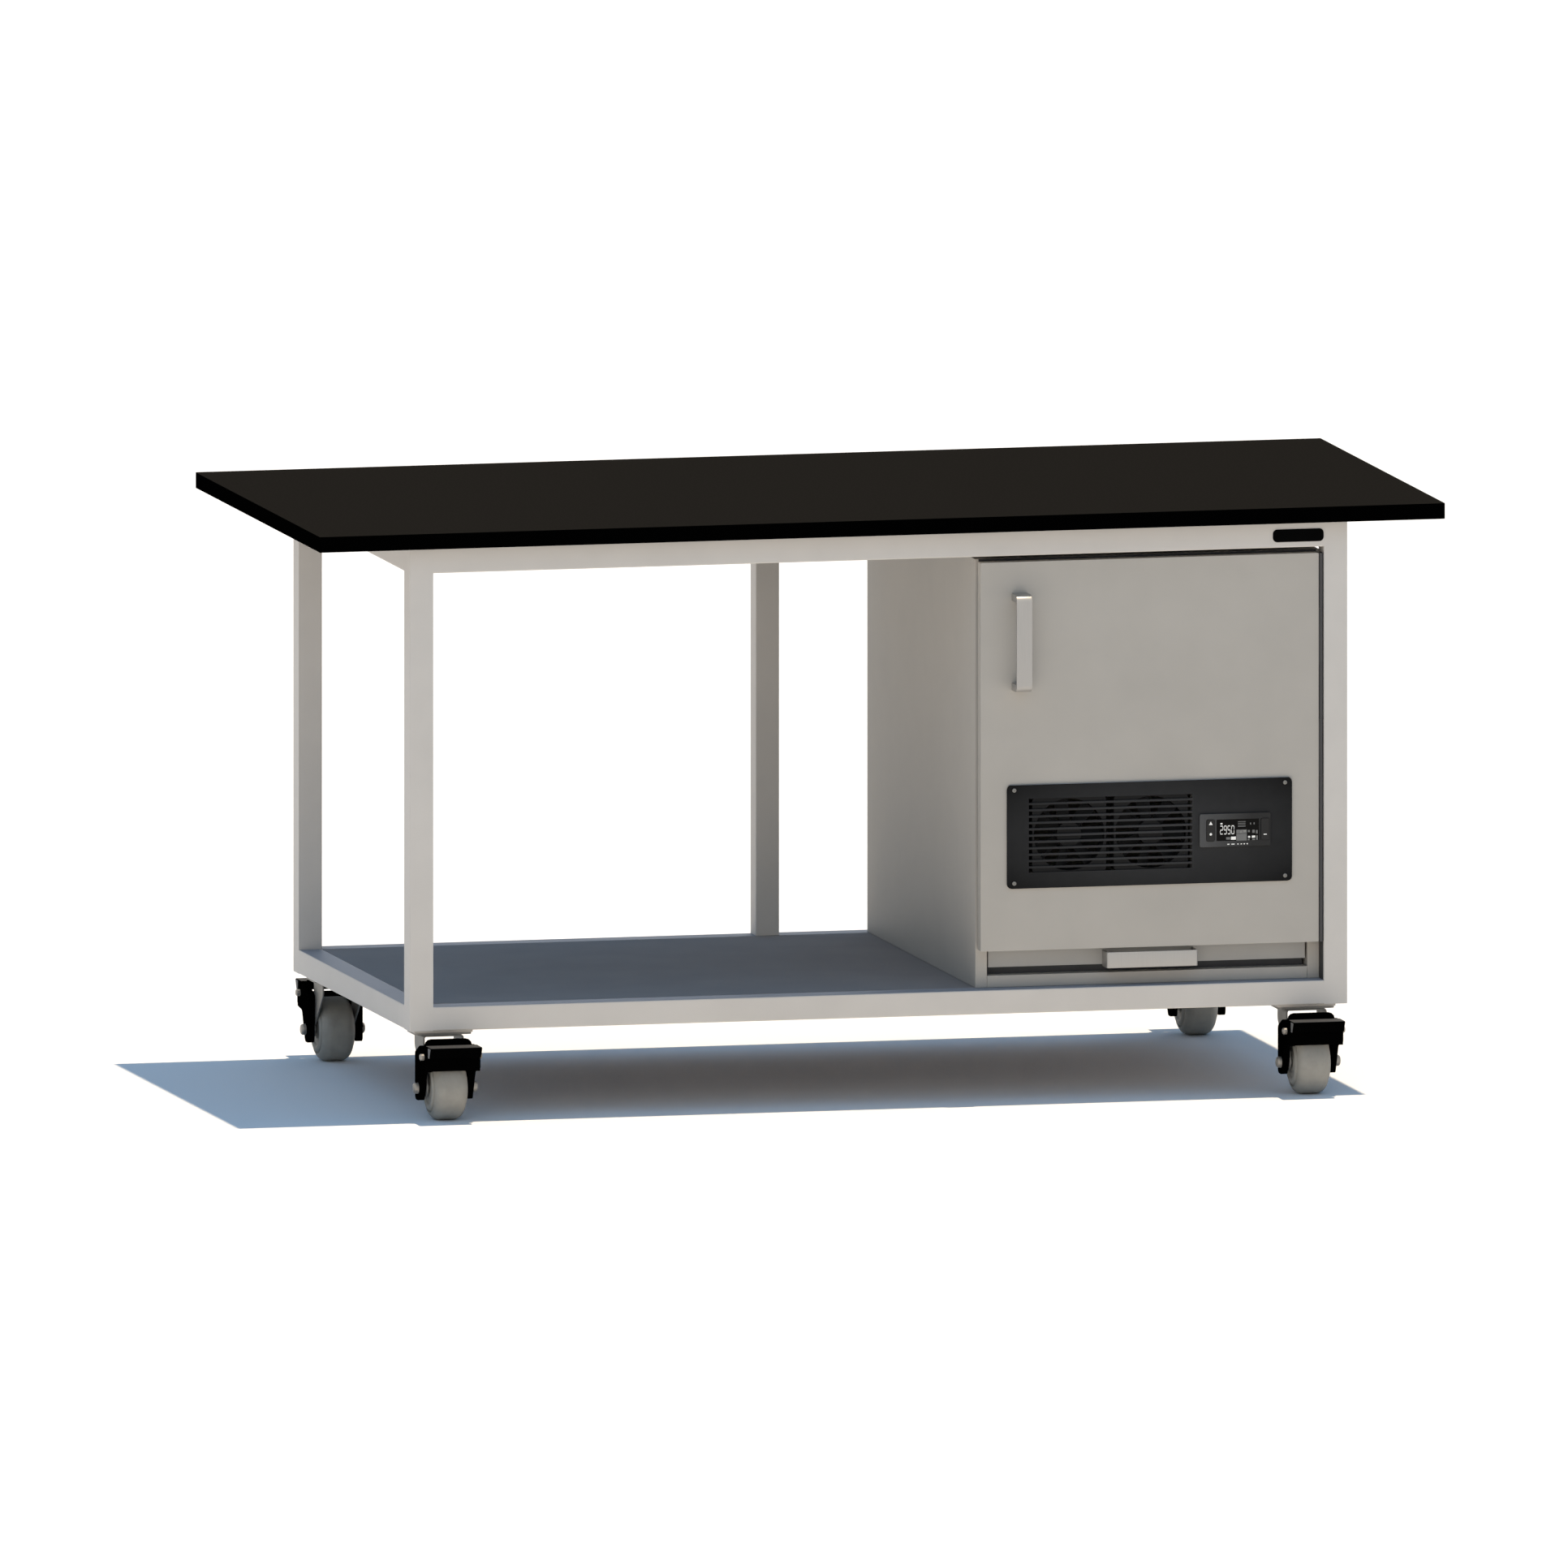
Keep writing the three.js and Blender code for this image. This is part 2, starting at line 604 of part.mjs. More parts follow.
// A fan in its own frame: the shaft along Y, the intake face at Y = 0
function fanHousing(name) {
  const half = FAN_SIZE / 2;
  const face = rectangle([-half, half], [-half, half], FAN_ROUND);
  const bore = new THREE.EllipseCurve(0, 0, FAN_BORE_RADIUS, FAN_BORE_RADIUS);
  face.holes.push(new THREE.Path(bore.getPoints(BORE_SIDES).slice(0, -1)));
  const back = [FAN_DEPTH - FAN_STRUT_DEPTH, FAN_DEPTH];
  const struts = [1, 3, 5, 7].map((eighth) => {
    const strut = block([0, FAN_BORE_RADIUS + FUSE], back, [-FAN_STRUT / 2, FAN_STRUT / 2]);
    return strut.rotateY(eighth * Math.PI / 4);
  });
  const motor = rod('y', FAN_HUB_RADIUS, back, [0, 0], BORE_SIDES);
  const seat = rod('y', FAN_SHAFT_RADIUS + FAN_SHAFT_CLEAR, [back[0] - FUSE, FAN_DEPTH + FUSE], [0, 0]);
  return piece(name, cut(join(prism(face, 'y', [0, FAN_DEPTH]), motor, ...struts), seat), BLACK_PLASTIC);
}

function fanRotor(name) {
  const span = [FAN_FACE_CLEAR, FAN_DEPTH - FAN_STRUT_DEPTH - FAN_FACE_CLEAR];
  const middle = (span[0] + span[1]) / 2;
  const tip = FAN_BORE_RADIUS - FAN_TIP_CLEAR;
  const chord = (span[1] - span[0]) * BLADE_FILL / Math.sin(BLADE_PITCH);
  const root = FAN_HUB_RADIUS - 2 * FUSE;
  const rootHalf = chord * BLADE_ROOT_SHARE;
  const face = outline([
    [root, -rootHalf], [tip + FUSE, -chord / 2], [tip + FUSE, chord / 2], [root, rootHalf],
  ]);
  const blades = Array.from({ length: BLADE_COUNT }, (_, index) => {
    const blade = prism(face, 'z', [-BLADE_THICK / 2, BLADE_THICK / 2]);
    blade.rotateX(Math.PI / 2 - BLADE_PITCH).translate(0, middle, 0);
    return blade.rotateY(index * 2 * Math.PI / BLADE_COUNT);
  });
  const hub = rod('y', FAN_HUB_RADIUS, span, [0, 0], BORE_SIDES);
  const shaft = rod('y', FAN_SHAFT_RADIUS, [middle, FAN_DEPTH - FUSE], [0, 0]);
  const sweep = rod('y', tip, [0, FAN_DEPTH], [0, 0], BORE_SIDES);
  return piece(name, common(join(hub, shaft, ...blades), sweep), BLACK_PLASTIC);
}

function fans() {
  const group = new THREE.Group();
  for (const [side, sign] of [['left', -1], ['right', 1]]) {
    const fan = new THREE.Group();
    fan.position.set(grille.middle + sign * FAN_SPACING / 2, door.front, vent.middle);
    fan.add(fanHousing(`fan_housing_${side}`), fanRotor(`fan_rotor_${side}`));
    group.add(fan);
  }
  return group;
}

function controller() {
  const group = new THREE.Group();
  const face = vent.front - SEAT - BEZEL_THICK;
  const bezel = rectangle([control.left, control.right], [control.bottom, control.top], CONTROL_ROUND);
  const body = block(
    [control.left + CONTROL_BODY_MARGIN, control.right - CONTROL_BODY_MARGIN],
    [vent.front - SEAT - FUSE, vent.front + CONTROL_BODY_DEPTH],
    [control.bottom + CONTROL_BODY_MARGIN, control.top - CONTROL_BODY_MARGIN],
  );
  const keyHeights = [vent.middle - KEY_HEIGHT / 2, vent.middle + KEY_HEIGHT / 2];
  const keys = {
    key_up_down: control.left + KEY_LEFT_MARGIN,
    key_set: control.right - KEY_RIGHT_MARGIN - KEY_WIDTH,
  };
  const pockets = [];
  const caps = [];
  for (const [name, left] of Object.entries(keys)) {
    const pocket = rectangle([left, left + KEY_WIDTH], keyHeights, KEY_ROUND);
    pockets.push(prism(pocket, 'y', [face - FUSE, face + KEY_POCKET]));
    const cap = rectangle(
      [left + KEY_CLEAR, left + KEY_WIDTH - KEY_CLEAR],
      [keyHeights[0] + KEY_CLEAR, keyHeights[1] - KEY_CLEAR],
      KEY_ROUND - KEY_CLEAR,
    );
    const thickness = [face - KEY_PROUD, face + KEY_POCKET - KEY_TRAVEL - KEY_CLEAR];
    caps.push(piece(name, prism(cap, 'y', thickness), BLACK_PLASTIC));
  }
  const displayLeft = keys.key_up_down + KEY_WIDTH + DISPLAY_FROM_KEY;
  const display = block(
    [displayLeft, displayLeft + DISPLAY_WIDTH],
    [face - FUSE, face + DISPLAY_RECESS],
    [vent.middle - DISPLAY_HEIGHT / 2, vent.middle + DISPLAY_HEIGHT / 2],
  );
  const shell = cut(join(prism(bezel, 'y', [face, vent.front - SEAT]), body), ...pockets, display);
  group.add(piece('controller', shell, BLACK_PLASTIC), ...caps);
  return group;
}

function traySet() {
  const group = new THREE.Group();
  const front = cabinet.front + TRAY_SETBACK;
  const panelBack = front + PANEL;
  const back = inside.back - TRAY_REAR_CLEAR;
  const bottom = inside.bottom + TRAY_LIFT;
  const top = door.bottom - TRAY_DOOR_CLEAR;
  const middle = (bottom + top) / 2;
  const deckTop = top - TRAY_LIP;
  const sideOf = { left: [inside.left, 1], right: [inside.right, -1] };
  const reach = ([wall, sign], from, to) => ordered(wall + sign * from, wall + sign * to);

  const flangeFrom = RUNNER_WIDTH + RUN_CLEAR;
  const deckWidth = [inside.left + flangeFrom, inside.right - flangeFrom];
  const parts = [
    block([inside.left + TRAY_SIDE_CLEAR, inside.right - TRAY_SIDE_CLEAR], [front, panelBack], [bottom, top]),
    block(deckWidth, [panelBack - FUSE, back], [deckTop - TRAY_SHEET, deckTop]),
    block(deckWidth, [back - TRAY_SHEET, back], [bottom + TRAY_FLANGE_LIFT, deckTop]),
  ];
  for (const [side, wall] of Object.entries(sideOf)) {
    const length = [panelBack - FUSE, back];
    const flange = reach(wall, flangeFrom, flangeFrom + TRAY_SHEET);
    parts.push(block(flange, length, [bottom + TRAY_FLANGE_LIFT, deckTop]));
    const tongueHalf = RUNNER_HEIGHT / 2 - RUNNER_SHEET - RUN_CLEAR;
    const tongue = reach(wall, SEAT + RUNNER_SHEET + RUN_CLEAR, flangeFrom + FUSE);
    parts.push(block(tongue, length, [middle - tongueHalf, middle + tongueHalf]));

    const channel = cut(
      block(
        reach(wall, SEAT, RUNNER_WIDTH),
        [panelBack + RUN_CLEAR, back],
        [middle - RUNNER_HEIGHT / 2, middle + RUNNER_HEIGHT / 2],
      ),
      block(
        reach(wall, SEAT + RUNNER_SHEET, RUNNER_WIDTH + FUSE),
        [panelBack, back + FUSE],
        [middle - RUNNER_HEIGHT / 2 + RUNNER_SHEET, middle + RUNNER_HEIGHT / 2 - RUNNER_SHEET],
      ),
    );
    group.add(piece(`tray_runner_${side}`, channel, ZINC));
  }
  group.add(piece('pull_out_tray', join(...parts), PANEL_PAINT));

  const pullBar = bow(PULL_SPAN, 0, -PULL_REACH, PULL_BAR, PULL_BEND);
  const pull = piece('tray_pull', prism(pullBar, 'z', [0, PULL_HEIGHT]), SATIN_STEEL);
  pull.position.set((inside.left + inside.right) / 2 + PULL_OFFSET, front - SEAT, bottom - PULL_DROP);
  group.add(pull);
  return group;
}

// A caster in its own frame: the swivel axis is Z, the floor is Z = 0, and the pedal points to -Y
const axle = { y: -CASTER_LEAD, z: WHEEL_RADIUS };
const crownTop = CASTER_HEIGHT - SEAT - CASTER_PLATE_THICK - SWIVEL_CLEAR;
const forkInner = WHEEL_WIDTH / 2 + FORK_SIDE_CLEAR;
const forkOuter = forkInner + FORK_SHEET;
const brakeInner = forkOuter + BRAKE_CLEAR;
const brakeOuter = brakeInner + BRAKE_ARM;
const brakeTop = CASTER_HEIGHT - BRAKE_TOP_DROP;
const pivot = { y: axle.y - PIVOT_AHEAD, z: axle.z + PIVOT_RISE };
const webInner = brakeInner - PEDAL_WEB_CLEAR - PEDAL_WEB;

function casterPlate(name) {
  const halfLength = CASTER_PLATE_LENGTH / 2;
  const halfDepth = CASTER_PLATE_DEPTH / 2;
  const face = rectangle([-halfLength, halfLength], [-halfDepth, halfDepth], CASTER_PLATE_ROUND);
  const under = crownTop + SWIVEL_CLEAR;
  const plate = prism(face, 'z', [under, under + CASTER_PLATE_THICK]);
  const kingpin = rod('z', KINGPIN_RADIUS, [crownTop - FORK_SHEET, under + FUSE], [0, 0]);
  return piece(name, join(plate, kingpin), DARK_STEEL);
}

// The fork is a bent sheet: a bow across X, trimmed to its tapered side outline
function casterFork(name) {
  const half = FORK_DEPTH / 2;
  const boss = FORK_BOSS_RADIUS;
  const side = outline([
    [-half, crownTop], [-half, crownTop - FORK_SHOULDER, FORK_ROUND],
    [axle.y - boss, axle.z + boss / 2], [axle.y - boss, axle.z - boss, boss],
    [axle.y + boss, axle.z - boss, boss], [axle.y + boss, axle.z + boss / 2],
    [half, crownTop - FORK_SHOULDER, FORK_ROUND], [half, crownTop],
  ]);
  const sheet = bow(2 * forkOuter, axle.z - boss - FUSE, crownTop, FORK_SHEET, FORK_BEND);
  const bent = common(
    prism(sheet, 'y', [-CASTER_HEIGHT, CASTER_HEIGHT]),
    prism(side, 'x', [-forkOuter, forkOuter]),
  );
  const kingpinHole = rod('z', KINGPIN_RADIUS + KINGPIN_CLEAR, [axle.z, CASTER_HEIGHT], [0, 0]);
  const headStart = brakeOuter + SEAT;
  const profile = [
    [0, 0], [AXLE_HEAD_RADIUS, 0], [AXLE_HEAD_RADIUS, AXLE_HEAD_LENGTH - AXLE_HEAD_ROUND],
    [AXLE_HEAD_RADIUS - AXLE_HEAD_ROUND / 3, AXLE_HEAD_LENGTH - AXLE_HEAD_ROUND / 3],
    [AXLE_HEAD_RADIUS - AXLE_HEAD_ROUND, AXLE_HEAD_LENGTH], [0, AXLE_HEAD_LENGTH],
  ].map(([radius, height]) => new THREE.Vector2(radius, height));
  const heads = [-1, 1].map((sign) => {
    const head = new THREE.LatheGeometry(profile, ROUND_SIDES);
    return head.rotateZ(-sign * Math.PI / 2).translate(sign * headStart, axle.y, axle.z);
  });
  const bolt = rod('x', AXLE_RADIUS, [-headStart - FUSE, headStart + FUSE], [axle.y, axle.z]);
  return piece(name, join(cut(bent, kingpinHole), bolt, ...heads), ZINC);
}

// The tyre's flats touch the wheel's radius, so a flat rests on the floor
function casterWheel(name) {
  const half = WHEEL_WIDTH / 2;
  const tread = WHEEL_RADIUS / Math.cos(Math.PI / WHEEL_SIDES);
  const lip = WHEEL_RECESS / 2;
  const section = outline([
    [AXLE_RADIUS + WHEEL_BORE_CLEAR, -half], [WHEEL_HUB_RADIUS, -half],
    [WHEEL_HUB_RADIUS + lip, WHEEL_RECESS - half], [WHEEL_RIM_RADIUS - lip, WHEEL_RECESS - half],
    [WHEEL_RIM_RADIUS, -half], [tread, -half, WHEEL_SHOULDER], [tread, half, WHEEL_SHOULDER],
    [WHEEL_RIM_RADIUS, half], [WHEEL_RIM_RADIUS - lip, half - WHEEL_RECESS],
    [WHEEL_HUB_RADIUS + lip, half - WHEEL_RECESS], [WHEEL_HUB_RADIUS, half],
    [AXLE_RADIUS + WHEEL_BORE_CLEAR, half],
  ]).getPoints();
  const wheel = new THREE.LatheGeometry([...section, section[0]], WHEEL_SIDES, Math.PI / WHEEL_SIDES);
  wheel.rotateZ(Math.PI / 2).translate(0, axle.y, axle.z);
  return piece(name, wheel, WHEEL_GREY);
}

// Two side arms, a wall across their tops and a skirt across their front
function brakeHousing(name) {
  const wall = [axle.y - BRAKE_WALL_AHEAD, axle.y - BRAKE_WALL_AHEAD + BRAKE_WALL];
  const armFront = axle.y - BRAKE_ARM_FRONT;
  const armRear = axle.y + BRAKE_ARM_REAR;
  const armTop = axle.z + BRAKE_ARM_RISE;
  const tip = axle.z - BRAKE_TIP_DROP;
  const skirtTop = axle.z + SKIRT_RISE;
  const skirtBottom = skirtTop - SKIRT_HEIGHT;
  const round = BRAKE_ARM_ROUND;
  const side = outline([
    [armRear, armTop - BRAKE_ARM_REAR_DROP, round], [wall[1] + round, armTop, round], [wall[0], armTop],
    [wall[0] - BRAKE_WALL_SLOPE, brakeTop - BRAKE_WALL_DROP], [armFront, skirtTop], [armFront, skirtBottom],
    [axle.y - BRAKE_KNEE_AHEAD, axle.z + BRAKE_KNEE_RISE, round], [axle.y - BRAKE_TIP_AHEAD, tip, round],
    [armRear, tip, round],
  ]);
  const arms = [-1, 1].map((sign) => prism(side, 'x', ordered(sign * brakeOuter, sign * brakeInner)));
  const wallBottom = brakeTop - BRAKE_WALL_HEIGHT;
  const wallFoot = wallBottom - BRAKE_WALL_ROOT;
  const wallFace = outline([
    [-BRAKE_WALL_HALF, wallFoot], [-brakeInner, wallFoot], [-brakeInner, wallBottom],
    [brakeInner, wallBottom], [brakeInner, wallFoot], [BRAKE_WALL_HALF, wallFoot],
    [BRAKE_WALL_HALF, brakeTop, BRAKE_WALL_ROUND], [-BRAKE_WALL_HALF, brakeTop, BRAKE_WALL_ROUND],
  ]);
  const skirtRear = armFront + SKIRT_REACH;
  const skirt = outline([
    [skirtRear, skirtTop], [armFront - SEAT, skirtTop, SKIRT_SLOPE / 3],
    [armFront - SEAT, skirtBottom + SKIRT_SLOPE, SKIRT_SLOPE / 2],
    [armFront + SKIRT_SLOPE, skirtBottom, SKIRT_SLOPE / 2], [skirtRear, skirtBottom],
  ]);
  const lipHalf = brakeOuter + SKIRT_OVERHANG;
  const stubs = [-1, 1].map((sign) => {
    const span = ordered(sign * webInner, sign * (brakeOuter - FUSE));
    return rod('x', PIVOT_RADIUS, span, [pivot.y, pivot.z]);
  });
  const boltSpan = [-brakeOuter - FUSE, brakeOuter + FUSE];
  const axleHole = rod('x', AXLE_RADIUS + WHEEL_BORE_CLEAR, boltSpan, [axle.y, axle.z]);
  const bars = [prism(wallFace, 'y', wall), prism(skirt, 'x', [-lipHalf, lipHalf])];
  const shell = join(...arms, ...bars, ...stubs);
  return piece(name, cut(shell, axleHole), BLACK_PLASTIC);
}

// A tread with a lip and closed ends, on two webs that turn on the stub pins
function brakePedal(name) {
  const top = CASTER_HEIGHT - PEDAL_TOP_DROP;
  const front = axle.y - PEDAL_REACH;
  const rear = front + PEDAL_DEPTH;
  const lipFoot = front + PEDAL_LIP_SLOPE;
  const tread = outline([
    [rear, top], [front, top, PEDAL_SHEET / 2], [lipFoot, top - PEDAL_LIP],
    [lipFoot + PEDAL_SHEET, top - PEDAL_LIP], [front + 2 * PEDAL_SHEET, top - PEDAL_SHEET],
    [rear, top - PEDAL_SHEET],
  ]);
  const boss = PEDAL_BOSS;
  const web = outline([
    [rear - PEDAL_WEB_AHEAD, top - FUSE], [rear, top - FUSE],
    [pivot.y + boss, pivot.z + boss, PEDAL_BOSS_ROUND], [pivot.y + boss, pivot.z - boss, PEDAL_BOSS_ROUND],
    [pivot.y - boss, pivot.z - boss, PEDAL_BOSS_ROUND], [pivot.y - boss, top - 2 * PEDAL_SHEET],
    [rear - PEDAL_WEB_AHEAD, top - PEDAL_SHEET],
  ]);
  const half = PEDAL_WIDTH / 2;
  const end = outline([
    [front + PEDAL_END, top - FUSE], [front + FUSE, top - FUSE], [lipFoot + FUSE / 2, top - PEDAL_LIP],
    [front + PEDAL_END, top - PEDAL_LIP, PEDAL_SHEET],
  ]);
  const ends = [-1, 1].map((sign) => prism(end, 'x', ordered(sign * half, sign * (half - PEDAL_SHEET))));
  const webs = [-1, 1].map((sign) => {
    return prism(web, 'x', ordered(sign * webInner, sign * (webInner + PEDAL_WEB)));
  });
  const bore = rod('x', PIVOT_RADIUS + PIVOT_CLEAR, [-brakeOuter, brakeOuter], [pivot.y, pivot.z]);
  const plate = prism(tread, 'x', [-half, half]);
  return piece(name, cut(join(plate, ...ends, ...webs), bore), BLACK_PLASTIC);
}

function casters() {
  const group = new THREE.Group();
  for (const end of ['front', 'rear']) {
    for (const side of ['left', 'right']) {
      const caster = new THREE.Group();
      const suffix = `${end}_${side}`;
      caster.position.set(
        side === 'left' ? CASTER_INSET_X : FRAME_LENGTH - CASTER_INSET_X,
        end === 'front' ? CASTER_INSET_Y : FRAME_DEPTH - CASTER_INSET_Y,
        -FRAME_BOTTOM,
      );
      caster.rotation.z = end === 'front' ? 0 : Math.PI;
      caster.add(
        casterPlate(`caster_plate_${suffix}`),
        casterFork(`caster_fork_${suffix}`),
        casterWheel(`caster_wheel_${suffix}`),
        brakeHousing(`brake_housing_${suffix}`),
        brakePedal(`brake_pedal_${suffix}`),
      );
      group.add(caster);
    }
  }
  return group;
}

const bench = new THREE.Group();
bench.position.set(-FRAME_LENGTH / 2, -FRAME_DEPTH / 2, FRAME_BOTTOM);
bench.add(frame(), surfaces(), cabinetBox(), doorSet(), ventPlate(), fans());
bench.add(controller(), traySet(), casters());

const part = new THREE.Group();
part.add(bench);

export default part;
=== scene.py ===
"""Dresses the mobile lab bench: finishes for every solid, and fine surfaces for what the solids leave plain.

Lengths are metres in the part's own frame: +X to the right, +Y to the back, +Z up, the floor at Z = 0.
"""

import json
import bmesh
import bpy
import numpy as np
from mathutils import Matrix, Vector


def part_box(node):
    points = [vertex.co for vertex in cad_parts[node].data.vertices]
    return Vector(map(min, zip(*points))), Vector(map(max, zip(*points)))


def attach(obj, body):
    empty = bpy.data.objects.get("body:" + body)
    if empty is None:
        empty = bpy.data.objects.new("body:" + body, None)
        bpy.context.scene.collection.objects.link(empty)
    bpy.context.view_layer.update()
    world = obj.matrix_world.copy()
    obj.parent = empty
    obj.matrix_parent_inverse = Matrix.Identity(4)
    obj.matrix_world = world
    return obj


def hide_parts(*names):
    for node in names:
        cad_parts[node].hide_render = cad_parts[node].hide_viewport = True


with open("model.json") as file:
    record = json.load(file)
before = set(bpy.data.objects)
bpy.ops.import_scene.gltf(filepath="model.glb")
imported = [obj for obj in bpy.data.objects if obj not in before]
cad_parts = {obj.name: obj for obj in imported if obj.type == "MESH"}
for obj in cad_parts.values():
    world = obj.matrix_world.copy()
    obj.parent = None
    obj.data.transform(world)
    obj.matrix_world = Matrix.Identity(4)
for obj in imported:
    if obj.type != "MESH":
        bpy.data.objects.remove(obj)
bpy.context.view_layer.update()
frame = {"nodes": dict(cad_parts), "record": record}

MM = 0.001
SEAT = 0.2 * MM
JOINT_GAP = 0.2 * MM
CORNERS = [f"{end}_{side}" for end in ("front", "rear") for side in ("left", "right")]
FACING_FRONT = ((1, 0, 0), (0, 0, 1), (0, -1, 0))


# Surfaces worked out as arrays

def surface(name, grid, wrap_rows=False, wrap_columns=False, caps=False):
    """A mesh of quads on a grid of points (rows, columns, 3).

    Row i and row i + 1 are joined column by column. Wrapping closes the grid on itself, and caps closes the
    first and the last row with one flat face each.
    """
    rows, columns = grid.shape[:2]
    index = np.arange(rows * columns).reshape(rows, columns)
    if wrap_rows:
        index = np.vstack([index, index[:1]])
    if wrap_columns:
        index = np.hstack([index, index[:, :1]])
    quads = np.stack([index[:-1, :-1], index[:-1, 1:], index[1:, 1:], index[1:, :-1]], axis=-1)
    faces = quads.reshape(-1, 4).tolist()
    if caps:
        last = rows * columns - columns
        faces += [list(range(columns))[::-1], list(range(last, last + columns))]
    return add_mesh(name, grid.reshape(-1, 3).tolist(), faces)


def add_mesh(name, points, faces):
    """An object in the scene with a mesh of these faces, all turned outwards."""
    mesh = bpy.data.meshes.new(name)
    mesh.from_pydata(points, [], faces)
    work = bmesh.new()
    work.from_mesh(mesh)
    bmesh.ops.recalc_face_normals(work, faces=work.faces)
    work.to_mesh(mesh)
    work.free()
    piece = bpy.data.objects.new(name, mesh)
    bpy.context.scene.collection.objects.link(piece)
    return piece


def smooth(piece):
    """Shades faces smooth where they meet at less than the sharp angle."""
    sharp = np.radians(35)
    piece.data.shade_smooth()
    piece.data.set_sharp_from_angle(angle=sharp)
    return piece


def arc(centre, radius, start, end, steps):
    """Points centre + radius (cos t, sin t) for t from start to end in degrees."""
    t = np.radians(np.linspace(start, end, steps + 1))
    return np.array(centre) + radius * np.stack([np.cos(t), np.sin(t)], axis=-1)


def rounded_rectangle(width, height, radius):
    """Outline of a rectangle about the origin, its corners quarter circles, run anticlockwise."""
    steps = 6
    x = width / 2 - radius
    y = height / 2 - radius
    return np.vstack([
        arc((x, y), radius, 0, 90, steps),
        arc((-x, y), radius, 90, 180, steps),
        arc((-x, -y), radius, 180, 270, steps),
        arc((x, -y), radius, 270, 360, steps),
    ])


def place(points, origin, first, second, third):
    """Points a, b, c carried to origin + a first + b second + c third."""
    return np.array(origin) + points @ np.array([first, second, third], float)


def inward(outline):
    """For each corner of an anticlockwise outline, the step that moves both its sides in by one."""
    edge = np.roll(outline, -1, axis=0) - outline
    normal = np.stack([-edge[:, 1], edge[:, 0]], axis=-1) / np.linalg.norm(edge, axis=1, keepdims=True)
    before = np.roll(normal, 1, axis=0)
    return (normal + before) / (1 + np.sum(normal * before, axis=1, keepdims=True))


def slab(name, outline, thickness, edge, origin, axes=FACING_FRONT, both=False):
    """A plate with a rounded front edge, standing on its back face; both rounds the back edge as well.

    The level at angle t from 0 to 90 degrees is the outline moved in by edge (1 - cos t), at height
    thickness - edge + edge sin t.
    """
    steps = 4
    t = np.radians(np.linspace(0, 90, steps + 1))
    inset = edge * (1 - np.cos(t))
    height = thickness - edge + edge * np.sin(t)
    back_inset = inset[::-1] if both else [0]
    back_height = thickness - height[::-1] if both else [0]
    inset = np.concatenate([back_inset, inset])
    height = np.concatenate([back_height, height])
    flat = outline[None] + inset[:, None, None] * inward(outline)[None]
    heights = np.broadcast_to(height[:, None, None], flat.shape[:2] + (1,))
    levels = np.concatenate([flat, heights], axis=-1)
    return smooth(surface(name, place(levels, origin, *axes), wrap_columns=True, caps=True))


def turned(name, profile, origin, axes, steps, closed=False):
    """A surface of revolution: a profile of (radius, height) turned about the third axis.

    The point at angle t is radius cos t on the first axis, radius sin t on the second, height on the third. A
    closed profile is a ring and joins its last point to its first.
    """
    t = np.linspace(0, 2 * np.pi, steps, endpoint=False)
    radius, height = np.array(profile, float).T
    ring = np.stack([np.outer(radius, np.cos(t)), np.outer(radius, np.sin(t)),
                     np.repeat(height[:, None], steps, axis=1)], axis=-1)
    grid = place(ring, origin, *axes)
    return smooth(surface(name, grid, wrap_rows=closed, wrap_columns=True, caps=not closed))


def bow(span, reach, plate, post, bend):
    """Outline of a bow in a plane (along the span, away from the face), anticlockwise.

    Two posts, sunk a little into the face, carry a plate. Quarter circles round the two outer bends, and
    small ones fill the two inner corners.
    """
    bend_steps, fillet_steps = 10, 4
    half = span / 2
    inner = half - post
    fillet = 0.3 * plate
    return np.vstack([
        [(-half, -SEAT), (-inner, -SEAT)],
        arc((fillet - inner, reach - plate - fillet), fillet, 180, 90, fillet_steps),
        arc((inner - fillet, reach - plate - fillet), fillet, 90, 0, fillet_steps),
        [(inner, -SEAT), (half, -SEAT)],
        arc((half - bend, reach - bend), bend, 0, 90, bend_steps),
        arc((bend - half, reach - bend), bend, 90, 180, bend_steps),
    ])


def boxes(name, lows, highs):
    """One mesh of upright boxes, from their lowest and highest corners."""
    lows = np.asarray(lows, float)
    highs = np.asarray(highs, float)
    share = np.array([(x, y, z) for z in (0, 1) for x, y in ((0, 0), (1, 0), (1, 1), (0, 1))])
    points = (lows[:, None] + share[None] * (highs - lows)[:, None]).reshape(-1, 3)
    sides = np.array([(3, 2, 1, 0), (4, 5, 6, 7), (0, 1, 5, 4), (1, 2, 6, 5), (2, 3, 7, 6), (3, 0, 4, 7)])
    first_corner = len(share) * np.arange(len(lows))
    faces = sides[None] + first_corner[:, None, None]
    return add_mesh(name, points.tolist(), faces.reshape(-1, 4).tolist())


# Finishes

class Value:
    """A shader value. Arithmetic on it adds Math nodes to the tree that it comes from."""

    def __init__(self, shading, socket):
        self.shading = shading
        self.socket = socket

    def math(self, operation, first, second):
        return self.shading.node("ShaderNodeMath", {"operation": operation}, {0: first, 1: second})

    def __add__(self, other):
        return self.math("ADD", self, other)

    def __radd__(self, other):
        return self.math("ADD", other, self)

    def __sub__(self, other):
        return self.math("SUBTRACT", self, other)

    def __rsub__(self, other):
        return self.math("SUBTRACT", other, self)

    def __mul__(self, other):
        return self.math("MULTIPLY", self, other)

    def __rmul__(self, other):
        return self.math("MULTIPLY", other, self)

    def __gt__(self, other):
        return self.math("GREATER_THAN", self, other)


